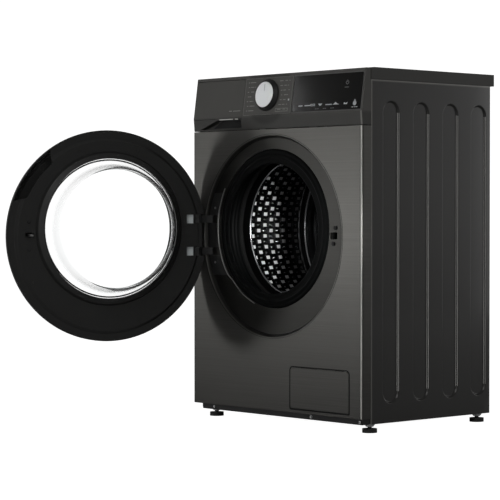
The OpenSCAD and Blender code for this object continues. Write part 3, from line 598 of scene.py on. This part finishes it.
def frame_of(x0, z0, x1, z1, width):
    """Outlines of the four sides of a rectangle drawn as a line."""
    return [bar(x0, z0, x1, z0 + width), bar(x0, z1 - width, x1, z1),
            bar(x0, z0 + width, x0 + width, z1 - width), bar(x1 - width, z0 + width, x1, z1 - width)]


def printed(name, place, outlines, low_out, high_out, material, body, slot):
    """Thin print of flat outlines on the face that place(x, z, out) follows."""
    slabs = [slab(*[[place(x, z, out) for x, z in outline] for out in (low_out, high_out)])
             for outline in outlines]
    return add_piece(name, mesh_of(name, *joined(slabs), 30), [material], body)


# ---------------------------------------------------------------- drum

# Points round the edge of a cell, from 0 to 1 each way
EDGE_SHARES = [i / 4 for i in range(4)]
CELL_EDGE = ([(t, 0) for t in EDGE_SHARES] + [(1, t) for t in EDGE_SHARES]
             + [(1 - t, 1) for t in EDGE_SHARES] + [(0, 1 - t) for t in EDGE_SHARES])
# The rings of a pad, as shares of the cell across and along it, and of the pad's height
PAD_RINGS = ((0.84, 0.98, 0), (0.64, 0.76, 1), (0.46, 0.6, 1))
PAD_LOW_SIDE = 0.12
# The rings of a hole, as shares of the hole's radius and of the pad's height
HOLE_RINGS = ((1.9, 0), (1.5, 0.16), (1, 0))


def embossed_sheet(place, columns, rows, pad_height, hole_r, cell_size):
    """Sheet of cells over place(u, v, height): sloping pads and ringed holes, in turn."""
    vertices = []
    faces = []
    pad_faces = []

    def add(points):
        start = len(vertices)
        vertices.extend(place(*p) for p in points)
        return list(range(start, start + len(points)))

    for i in range(columns):
        for j in range(rows):
            rings = [add([(i + u, j + v, 0) for u, v in CELL_EDGE])]
            if (i + j) % 2:
                for across, along, lift in PAD_RINGS:
                    ring = [(0.5 + (u - 0.5) * across, 0.5 + (v - 0.5) * along) for u, v in CELL_EDGE]
                    rings.append(add([(i + u, j + v,
                                       pad_height * lift * (PAD_LOW_SIDE + (1 - PAD_LOW_SIDE) * u))
                                      for u, v in ring]))
            else:
                angles = [math.atan2(v - 0.5, u - 0.5) for u, v in CELL_EDGE]
                for share, lift in HOLE_RINGS:
                    r = hole_r * share
                    rings.append(add([(i + 0.5 + r / cell_size[0] * math.cos(a),
                                       j + 0.5 + r / cell_size[1] * math.sin(a), pad_height * lift)
                                      for a in angles]))
            for first, second in zip(rings, rings[1:]):
                faces.extend(ring_faces(first, second))
            if (i + j) % 2:
                pad_faces.append(len(faces))
                faces.append(tuple(rings[-1]))
    return vertices, faces, pad_faces


def add_drum_wall(looks):
    """The drum's wall, with an embossed cell for every share of its length and its turn."""
    inner_r = DRUM_R - 1 * MM
    front = DRUM_FRONT + 14.5 * MM
    back = DRUM_BACK - 26 * MM
    cells_along = 10
    cells_around = 104
    turn = 2 * math.pi / cells_around
    step = (back - front) / cells_along
    pad_height = 4.2 * MM
    hole_r = 1.9 * MM

    def on_wall(u, v, height):
        a = v * turn
        r = inner_r - height
        return (DRUM_X + r * math.cos(a), front + u * step, DRUM_Z + r * math.sin(a))

    vertices, faces, pads = embossed_sheet(on_wall, cells_along, cells_around, pad_height, hole_r,
                                           (step, turn * inner_r))
    wall = add_piece("drum_wall", mesh_of("drum_wall", vertices, faces, 22, pads),
                     [looks["drum"], looks["pad"]], "drum")
    thicken(wall, 0.6 * MM)
    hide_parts("drum_shell")


def add_drum_front(looks):
    """The drum's front cone, with a bead rolled round its mouth."""
    mouth = DRUM_MOUTH_R / MM
    rim = DRUM_R / MM
    bead_r = 3
    angles = [math.radians(t) for t in range(-60, 121, 20)]
    bead = [(mouth + bead_r - bead_r * math.cos(a), bead_r - bead_r * math.sin(a)) for a in angles]
    cone = bead + [(mouth + 9, 1), (rim - 7, 8), (rim - 2.5, 10), (rim - 0.2, 15), (rim - 1, 15),
                   (rim - 3, 11), (rim - 7, 9), (mouth + 8, 2.2)]
    profile = [(r * MM, DRUM_FRONT + y * MM) for r, y in cone]
    add_piece("drum_front", mesh_of("drum_front", *revolved(profile, 160), 35), [looks["lip"]], "drum")


def add_drum_end(looks):
    """The drum's back wall, with two beads and a rounded corner where it meets the wall."""
    rim = DRUM_R / MM
    inside = [(rim - 1, -26.5), (rim - 1, -24), (rim - 3.2, -22.6), (rim - 3.6, -21), (rim - 3.2, -19.4),
              (rim - 1, -18), (rim - 1, -14), (rim - 2.2, -9), (rim - 4.5, -5.5), (rim - 8, -3),
              (rim - 13, -1.6), (rim - 22, -1.2), (196, -1.2), (193, -3.2), (189, -3.2), (186, -1.2),
              (108, -1.2), (100, -2.2), (74, -10.2), (68, -11.2), (0, -11.2)]
    outside = [(0, -10.4), (67.5, -10.4), (73.6, -9.4), (99.5, -1.4), (rim - 21, -0.2), (rim - 7.6, -2.2),
               (rim - 3.8, -5), (rim - 1.4, -9), (rim - 0.2, -14), (rim - 0.2, -26.5)]
    profile = [(r * MM, DRUM_BACK + y * MM) for r, y in inside + outside]
    end = add_piece("drum_end", mesh_of("drum_end", *revolved(profile, 160), 40), [looks["drum"]], "drum")
    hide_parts("drum_back")


# ---------------------------------------------------------------- rubber, springs and glass


def front_profile(points):
    """A profile of (radius, distance behind the front panel), both given in millimetres."""
    return [(r * MM, PANEL_Y + y * MM) for r, y in points]


def add_gasket_bellows(looks):
    """The part of the door gasket that runs from the front panel to the tub."""
    wall = [(192.8, 10.3), (192.8, 20.5), (197, 20.5), (197, 45), (191, 52), (185.2, 54), (185.2, 65.5),
            (180.3, 65.5), (180.3, 50.5), (187, 48), (190.6, 42), (190.6, 10.3)]
    profile = front_profile(smooth_path(wall, 2))
    bellows = add_piece("gasket_bellows", mesh_of("gasket_bellows", *revolved(profile, 160), 60),
                        [looks["gasket"]], None)
    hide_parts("gasket")
    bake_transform(bellows)


def add_gasket_face(looks):
    """The face of the door gasket, which the closed door presses back."""
    ring = [(192.7, 12), (192, 9.8), (187, 7.4), (182, 7.6), (179, 5.4), (175.5, 5.4), (173, 7.4),
            (166, 7), (161, 5.6), (157.6, 6.6), (157.2, 9), (159, 10.8), (163, 11.4), (176, 12.4),
            (184, 15), (186.5, 22), (187.5, 34), (190, 34), (190.6, 22), (191.6, 16)]
    profile = front_profile(smooth_path(ring, 2))
    face = add_piece("gasket_face", mesh_of("gasket_face", *revolved(profile, 192), 60),
                     [looks["gasket"]], "cabinet")
    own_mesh(face)


def add_recess_liner(looks):
    """Dark moulding round the wall of the recess that the door closes into."""
    r = RECESS_R
    wall = [(r + 2.4, 0.6), (r + 2.9, 1.4), (r + 2.3, 2.2), (r - 3.4, 8.6), (r - 6.2, 9.3),
            (r - 6.4, 9.55), (r - 4.6, 9.6), (r - 2.6, 9.0), (r + 2.9, 2.6), (r + 3.6, 1.4), (r + 3.0, 0.4)]

    def round_recess(radius, angle, y):
        return (DRUM_X + radius * math.cos(angle), y, DOOR_Z + radius * math.sin(angle))

    mesh = mesh_of("recess_liner", *revolved(front_profile(wall), 192, round_recess), 50)
    add_piece("recess_liner", mesh, [looks["liner"]], "cabinet")


def add_sump_hose(looks):
    """Bellows between the tub's sump and the pump."""
    low_z = low("sump_hose").z
    high_z = high("sump_hose").z
    centre = middle("sump_hose")
    middle_r = 21.8 * MM
    wave = 2.1 * MM
    wall = 2.4 * MM
    waves = 8
    steps = waves * 8
    outer = []
    for i in range(steps + 1):
        t = i / steps
        r = middle_r + wave * math.cos(2 * math.pi * waves * t + math.pi)
        outer.append((r, low_z + (high_z - low_z) * t))
    inner = [(r - wall, z) for r, z in reversed(outer)]

    def round_hose(radius, angle, z):
        return (centre.x + radius * math.cos(angle), centre.y + radius * math.sin(angle), z)

    piece = add_piece("sump_bellows", mesh_of("sump_bellows", *revolved(outer + inner, 48, round_hose), 50),
                      [looks["gasket"]], None)
    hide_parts("sump_hose")
    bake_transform(piece)


def add_springs(looks):
    """The two coil springs that the tub hangs from."""
    lowest = low("suspension_springs")
    highest = high("suspension_springs")
    wire_r = 1.4 * MM
    coil_r = 9.4 * MM
    inset = 11 * MM
    turns = 17
    per_turn = 20
    steps = turns * per_turn
    y = (lowest.y + highest.y) / 2
    parts = []
    for x in (lowest.x + inset, highest.x - inset):
        points = []
        for i in range(steps + 1):
            a = 2 * math.pi * i / per_turn
            z = lowest.z + wire_r + (highest.z - lowest.z - 2 * wire_r) * i / steps
            points.append(Vector((x + coil_r * math.cos(a), y + coil_r * math.sin(a), z)))
        parts.append(tube(points, wire_r, Vector((0, 0, 1))))
    piece = add_piece("tub_springs", mesh_of("tub_springs", *joined(parts), 50), [looks["zinc"]], None)
    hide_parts("suspension_springs")
    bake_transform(piece)


def add_glass(looks):
    """The glass bowl of the door, turned to where the door stands."""
    bowl = [(179.5, 4), (179.5, 9), (169.5, 9), (169, 13), (163, 20), (157.5, 27), (155.5, 34),
            (153, 50), (150, 64), (146, 74), (136, 79), (100, 80.6), (0, 81)]
    hollow = [(0, 77), (100, 76.6), (134, 75), (142.5, 71), (146, 62), (149, 49), (151.5, 33.5),
              (153.5, 26), (159, 18), (165.5, 11.5), (165.5, 4)]
    profile = front_profile(smooth_path(bowl, 3, False) + smooth_path(hollow, 3, False))
    mesh = mesh_of("door_bowl", *revolved(profile, 192), 70)
    mesh.transform(DOOR_TURN)
    piece = add_piece("door_bowl", mesh, [looks["glass"]], "door")
    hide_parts("door_glass")


def add_glass_seal(looks):
    """Black line of the seal round the glass, on the door's inner face."""
    seal_r = 171.6
    seal_y = 9.8
    angles = [math.pi * k / 4 for k in range(8)]
    ring = [(seal_r + 0.8 * math.cos(a), seal_y + 0.6 * math.sin(a)) for a in angles]
    mesh = mesh_of("glass_seal", *revolved(front_profile(ring), 160), 80)
    mesh.transform(DOOR_TURN)
    add_piece("glass_seal", mesh, [looks["liner"]], "door")


def add_recess_line(looks):
    """The dark line round the recess in the front panel."""
    quarters = [arc_band(DRUM_X / MM, DOOR_Z / MM, RECESS_R + 3.6, 1.3, a, a + 90, 36)
                for a in (0, 90, 180, 270)]
    printed("recess_edge_line", on_panel, quarters, -0.3, 0.12, looks["liner"], "cabinet", "door_black")


def add_corner_painted_highlight(looks):
    """A strip of painted highlight on the bend at the right edge of the front panel."""
    bend_r = 5
    steps = 5
    angles = [math.radians(4 + 48 * i / steps) for i in range(steps + 1)]
    outline = [(HALF_WIDTH / MM - bend_r + r * math.sin(a), bend_r - r * math.cos(a))
               for r, turn in ((bend_r + 0.08, angles), (bend_r - 0.2, angles[::-1])) for a in turn]
    vertices, faces = slab(*[[at(x, y, z) for x, y in outline] for z in (36, 714.2)])
    add_piece("front_corner_painted_highlight", mesh_of("front_corner_painted_highlight", vertices, faces, 40), [looks["corner"]],
              "cabinet")


def add_cover_lip(looks):
    """Raised edge of the hinge cover, stepping down to the mouth of the front panel below it."""
    cover_r = 198
    cover_y = 5.4
    drop = 3.4
    wire_r = 1.3 * MM
    points = []
    for degrees in range(150, 252, 2):
        step = min(1, max(0, (degrees - 214) / 8))
        step = step * step * (3 - 2 * step)
        r = cover_r - drop * step
        a = math.radians(degrees)
        points.append(at(DRUM_X / MM + r * math.cos(a), cover_y + drop * step,
                         DRUM_Z / MM + r * math.sin(a)))
    add_piece("hinge_cover_lip", mesh_of("hinge_cover_lip", *tube(points, wire_r, Vector((0, 1, 0))), 60),
              [looks["lip_grey"]], "cabinet")


# ---------------------------------------------------------------- side panels

POCKET_Y = (97, 199.5, 302, 403)
POCKET_R = 27.5
# Heights of the centres of a pocket's two round ends
POCKET_FOOT = 67 + POCKET_R
POCKET_TOP = 774 - POCKET_R
SIDE_Y = (30.4, 445)
SIDE_Z = (22, 821.5)
SIDE_FLANGE = 12
# How far each ring of a pocket's edge lies inside its outline, and how deep it lies, both in mm
POCKET_EDGE = ((-1.2, 0.0), (-0.6, 0.0), (0.0, 0.06), (0.6, 0.35), (1.2, 0.95), (2.9, 3.55), (3.5, 4.15),
               (4.1, 4.44), (4.8, 4.5), (5.6, 4.5))
# The two rings, at the top and the foot of a pocket's wall, whose rear side takes a painted highlight
PAINTED_HIGHLIGHT_RINGS = (4, 6)


def capsule(y, inset, steps=12):
    """Outline of an arch-ended pocket, as points in Y and Z."""
    r = POCKET_R - inset
    angles = [math.radians(180 * i / steps) for i in range(steps + 1)]
    return ([(y + r * math.cos(a), POCKET_TOP + r * math.sin(a)) for a in angles]
            + [(y - r * math.cos(a), POCKET_FOOT - r * math.sin(a)) for a in angles])


def reach(room, step):
    """How many times step fits in the room there is along one axis."""
    return room / abs(step) if abs(step) > TINY else math.inf


def cell_outline(y0, y1, points, y):
    """The points of a pocket's outline pushed out to the rectangle of sheet round it."""
    out = []
    for py, pz in points:
        in_top_half = pz >= POCKET_TOP - TINY
        base = POCKET_TOP if in_top_half else POCKET_FOOT
        room_z = SIDE_Z[1] - POCKET_TOP if in_top_half else POCKET_FOOT - SIDE_Z[0]
        dy = py - y
        dz = pz - base
        scale = min(reach(y1 - y if dy > 0 else y - y0, dy), reach(room_z, dz))
        out.append((y + dy * scale, base + dz * scale))
    return out


def on_border(a, b):
    """Whether the edge from a to b lies along an outer edge of the side sheet."""
    return any(abs(a[k] - edge) < TINY and abs(b[k] - edge) < TINY
               for k, edges in enumerate((SIDE_Y, SIDE_Z)) for edge in edges)


def corner_between(a, b, cell_y):
    """The corner of a cell of sheet that lies between a and b, or None when both are on one edge."""
    if abs(a[0] - b[0]) < TINY or abs(a[1] - b[1]) < TINY:
        return None
    return tuple(min(edges, key=lambda edge: min(abs(a[k] - edge), abs(b[k] - edge)))
                 for k, edges in enumerate((cell_y, SIDE_Z)))


def add_side(name, sign, look, painted_highlight_look):
    """A side panel with its pockets, pressed with rounded edges, and its turned edges."""
    vertices = []
    faces = []
    painted_highlight_faces = []

    def add(points, depth):
        start = len(vertices)
        vertices.extend(at(sign * (HALF_WIDTH / MM - depth), y, z) for y, z in points)
        return list(range(start, start + len(points)))

    borders = [SIDE_Y[0]] + [(a + b) / 2 for a, b in zip(POCKET_Y, POCKET_Y[1:])] + [SIDE_Y[1]]
    for y, y0, y1 in zip(POCKET_Y, borders, borders[1:]):
        outline = cell_outline(y0, y1, capsule(y, POCKET_EDGE[0][0]), y)
        rings = [add(outline, 0)] + [add(capsule(y, inset), depth) for inset, depth in POCKET_EDGE]
        loop = []
        for i, a in enumerate(outline):
            n = (i + 1) % len(outline)
            loop.append(a)
            corner = corner_between(a, outline[n], (y0, y1))
            if corner:
                loop.append(corner)
                faces.append((rings[0][i], *add([corner], 0), rings[0][n]))
        for a, b in zip(loop, loop[1:] + loop[:1]):
            if on_border(a, b):
                faces.append((*add([a, b], 0), *add([b, a], SIDE_FLANGE)))
        for k, (outer, inner) in enumerate(zip(rings, rings[1:])):
            faces.extend(ring_faces(outer, inner))
            # The rear side of these rings takes the second look, a painted highlight
            if k in PAINTED_HIGHLIGHT_RINGS:
                painted_highlight_faces.append(len(faces) - 1)
        faces.append(tuple(rings[-1]))
    mesh = mesh_of(name + "_sheet", vertices, faces, 50, painted_highlight_faces)
    if sum(face.normal.x * face.area for face in mesh.polygons) * sign < 0:
        mesh.flip_normals()
    piece = add_piece(name + "_sheet", mesh, [look, painted_highlight_look], "cabinet")
    thicken(piece, 0.9 * MM)
    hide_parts(name)


# ---------------------------------------------------------------- print on the controls


def on_panel(x, z, out):
    return at(x, -out, z)


def on_recess(x, z, out):
    """A place on the floor of the recess in the front panel."""
    return at(x, 9.6 - out, z)


def in_drawer_pocket(x, z, out):
    """A place on the back of the grip pocket of the detergent drawer."""
    return at(x, 17.4 - out, z)


def on_door_face(x, z, out):
    """A place on the inner face of the door, given where the closed door would have it."""
    return DOOR_TURN @ at(x, 4 + out, z)


def rounded_outline(x0, z0, x1, z1, r_low, r_high, steps=6):
    """Outline of a rectangle with one corner radius below and one above."""
    points = []
    for x, z, r, start in ((x1 - r_low, z0 + r_low, r_low, -90), (x1 - r_high, z1 - r_high, r_high, 0),
                           (x0 + r_high, z1 - r_high, r_high, 90), (x0 + r_low, z0 + r_low, r_low, 180)):
        for k in range(steps + 1):
            a = math.radians(start + 90 * k / steps)
            points.append((x + r * math.cos(a), z + r * math.sin(a)))
    return points


def bands_between(outer, inner):
    """The strip between two outlines of as many points, as four-cornered outlines."""
    count = len(outer)
    return [[outer[i], outer[(i + 1) % count], inner[(i + 1) % count], inner[i]] for i in range(count)]


def add_dark_seams(looks):
    """A sheet of painted shade in the drawer's grip pocket, and the dark gap round the filter flap."""
    pocket = [(-240, 722), (-124, 722), (-124, 741), (-204, 741)]
    printed("drawer_pocket_painted_shade", in_drawer_pocket, [pocket], 0, 0.4, looks["liner"], "cabinet",
            "black_plastic")
    width = 3.1
    outer = (54.2, 41.7, 258.8, 146.8, 5.8, 11.8)
    inner = [value + width * way for value, way in zip(outer, (1, 1, -1, -1, -1, -1))]
    seam = bands_between(rounded_outline(*outer), rounded_outline(*inner))
    printed("flap_seam", on_panel, seam, -0.2, 0.12, looks["liner"], "cabinet", "black_plastic")


def add_screw_surrounds(looks):
    """Cups of the screws beside the hook's slot, and the rings round those on the door."""
    rings = [half for z in (491, 424) for half in round_band(193, z, 4.4, 1.7)]
    printed("door_screw_rings", on_door_face, rings, -0.2, 0.4, looks["liner"], "door", "door_black")
    cups = [half for x, z in ((202, 477), (195, 440)) for half in round_band(x, z, 5.2, 5.1)]
    printed("hook_screw_cups", on_recess, cups, -0.2, 2.6, looks["liner"], "cabinet", "black_plastic")


# How far out of the control panel's face the print on the display and on the program plate reaches
ON_DISPLAY = (1.0, 1.35)
ON_PLATE = (0.7, 1.0)


def add_display_prints(looks):
    """The lit signs on the display and the faint ones beside them. They stand for no real words."""
    lights = [bar(x0, 18.2, x1, 20.4) for x0, x1 in ((83, 97), (104, 123), (174.5, 195.5))]
    lights += frame_of(124, 17.6, 139, 22.4, 1.2)
    lights += [[(150, 22.4), (164, 22.4), (161, 19), (157, 17), (153, 19)],
               [(198, 18.4), (221, 18.4), (214, 20.4), (207.5, 24.6), (203, 20.4)],
               [(235, 18), (246, 18), (247.5, 22.5), (240.5, 20.5), (236, 23)]]
    printed("display_lights", on_fascia, lights, *ON_DISPLAY, looks["light"], "cabinet", "fascia_print")
    faint = [bar(x, 9.6, x + 5, 11.4) for x in (141, 148, 167, 173, 192, 199)]
    faint += [arc_band(241, 69.5, 5, 1.6, 120, 420), bar(240.2, 70, 241.8, 76), bar(233, 57.5, 247, 59)]
    printed("display_icons", on_fascia, faint, *ON_DISPLAY, looks["icon"], "cabinet", "fascia_print")
    start = round_band(271, 19.5, 5.6, 5.5, -90) + [[(266.2, 22), (275.8, 22), (271, 29.5)]]
    start += [bar(x0, 9.6, x1, 11.2) for x0, x1 in ((262, 268), (270, 273), (275, 281))]
    printed("start_mark", on_fascia, start, *ON_DISPLAY, looks["light"], "cabinet", "fascia_print")


def add_program_prints(looks):
    """Rows of plain bars at both sides of the knob, where the machine names its programs."""
    rows = 7
    marks = []
    for k in range(rows):
        up = 83 - 11.6 * k
        swing = abs(k - rows // 2)
        bars = [(-103 + 2 * (k % 2), 5), (-95 + 2 * (k % 3), 6 + 3 * swing), (-82 + 4 * (k % 2), 2 * swing),
                (42 - 4 * (k % 2), 4), (28 - 2 * (k % 3), 9), (18 - 3 * swing, 3 + 3 * swing)]
        marks += [bar(x, up, x + width, up + 1.7) for x, width in bars if width]
    marks += frame_of(2, 9, 46, 17, 0.9) + frame_of(-112, 3, 55, 94, 0.6)
    printed("program_marks", on_fascia, marks, *ON_PLATE, looks["mark"], "cabinet", "fascia_print")
    printed("start_light", on_fascia, [bar(44, 34, 48, 39)], 0.7, 1.1, looks["light"], "cabinet",
            "fascia_print")


def add_other_prints(looks):
    """The line round the display, the drawer's labels and the pointer on the knob."""
    printed("display_edge", on_fascia, frame_of(57.9, 4, 292, 94, 0.8), -0.1, 0.6, looks["icon"],
            "cabinet", "fascia_print")
    printed("pocket_label", on_lower_band, [bar(-200, 741.4, -150, 744), bar(-142, 741.4, -131, 744)],
            -0.1, 0.3, looks["label"], "cabinet", "fascia_print")
    printed("drawer_marks", on_fascia, [bar(-166, 15, -155, 17.2), bar(-151, 15, -125, 16.8)], -0.1, 0.25,
            looks["mark"], "drawer", "fascia_print")
    printed("knob_line", on_fascia, [bar(-31.2, 59, -29.8, 76)], 12.9, 13.12, looks["knob_line"], "knob",
            "fascia_print")


# ---------------------------------------------------------------- stage


# Place, target, width and height of each lamp, and its power in watts
AREA_LIGHTS = {
    "key": ((3.0, -3.6, 3.4), (0, 0, 0.5), (2.6, 2.6), 30),
    "front": ((-2.75, -3.3, 0.46), (0.2, 0, 0.5), (0.5, 0.5), 12),
    "corner_strip": ((2.2, -4.3, 0.7), (0.3, -0.2, 0.5), (0.12, 1.6), 20),
    "knob_card": ((-2.68, -2.46, 1.645), (-0.03, -0.23, 0.8), (0.1, 0.15), 4),
    "side_rear": ((3.2, 4.4, 1.0), (0.3, 0.2, 0.5), (1.2, 2.0), 14),
}
ROOM_LIGHT = 0.16
BACKDROP_LIGHT = 1.1


def add_light(name, kind, place, target, power):
    data = bpy.data.lights.new(name, kind)
    data.energy = power
    light = bpy.data.objects.new(name, data)
    light.location = place
    light.rotation_euler = (Vector(target) - Vector(place)).to_track_quat("-Z", "Y").to_euler()
    scene.collection.objects.link(light)
    return data


def add_lights():
    for name, (place, target, size, power) in AREA_LIGHTS.items():
        area = add_light(name, "AREA", place, target, power)
        area.shape = "RECTANGLE"
        area.size, area.size_y = size
    spot = add_light("drum_lamp", "SPOT", (3.3, -2.25, 0.62), (-0.01, -0.2, 0.456), 620)
    spot.spot_size = math.radians(4.2)
    spot.spot_blend = 0.5
    spot.shadow_soft_size = 0.05


def seen_directly(tree):
    """1 for rays from the camera, also when they have passed through glass, and 0 for all others."""
    rays = tree.nodes.new("ShaderNodeLightPath").outputs
    return largest(tree, rays["Is Camera Ray"], rays["Is Transmission Ray"])


def add_world():
    """White behind the machine, and a dimmer studio in what the machine reflects."""
    world = bpy.data.worlds.new("studio")
    scene.world = world
    world.use_nodes = True
    tree = world.node_tree
    backdrop = tree.nodes["Background"]
    backdrop.inputs["Color"].default_value = (1, 1, 1, 1)
    backdrop.inputs["Strength"].default_value = BACKDROP_LIGHT
    room = tree.nodes.new("ShaderNodeBackground")
    room.inputs["Color"].default_value = (1, 1, 1, 1)
    room.inputs["Strength"].default_value = ROOM_LIGHT
    mix = tree.nodes.new("ShaderNodeMixShader")
    tree.links.new(seen_directly(tree), mix.inputs["Fac"])
    tree.links.new(room.outputs[0], mix.inputs[1])
    tree.links.new(backdrop.outputs[0], mix.inputs[2])
    tree.links.new(mix.outputs[0], tree.nodes["World Output"].inputs["Surface"])


def add_floor():
    """A wide pale floor, white where the camera sees it."""
    half = 40
    corners = [(-half, -half, 0), (half, -half, 0), (half, half, 0), (-half, half, 0)]
    mesh = bpy.data.meshes.new("floor")
    mesh.from_pydata(corners, [], [(0, 1, 2, 3)])
    floor = bpy.data.objects.new("floor", mesh)
    scene.collection.objects.link(floor)
    m, tree, shader = new_material("floor_pale")
    tree.links.new(grey_ramp(tree, noise(tree, 2), 0.5, 0.54), shader.inputs["Base Color"])
    shader.inputs["Roughness"].default_value = 0.9
    shader.inputs["Emission Color"].default_value = (1, 1, 1, 1)
    tree.links.new(seen_directly(tree), shader.inputs["Emission Strength"])
    paint(floor, m)


add_camera()
looks = make_materials()
for look, names in NODE_LOOKS.items():
    for node_name in names:
        paint(nodes[node_name], looks[look])
add_drum_wall(looks)
add_drum_front(looks)
add_drum_end(looks)
add_gasket_bellows(looks)
add_gasket_face(looks)
add_recess_liner(looks)
add_dark_seams(looks)
add_screw_surrounds(looks)
add_sump_hose(looks)
add_springs(looks)
add_glass(looks)
add_glass_seal(looks)
add_recess_line(looks)
add_corner_painted_highlight(looks)
add_cover_lip(looks)
add_side("left_side_panel", -1, looks["side"], looks["side_edge"])
add_side("right_side_panel", 1, looks["side"], looks["side_edge"])
add_display_prints(looks)
add_program_prints(looks)
add_other_prints(looks)
add_world()
add_floor()
add_lights()
scene.view_settings.view_transform = "Standard"
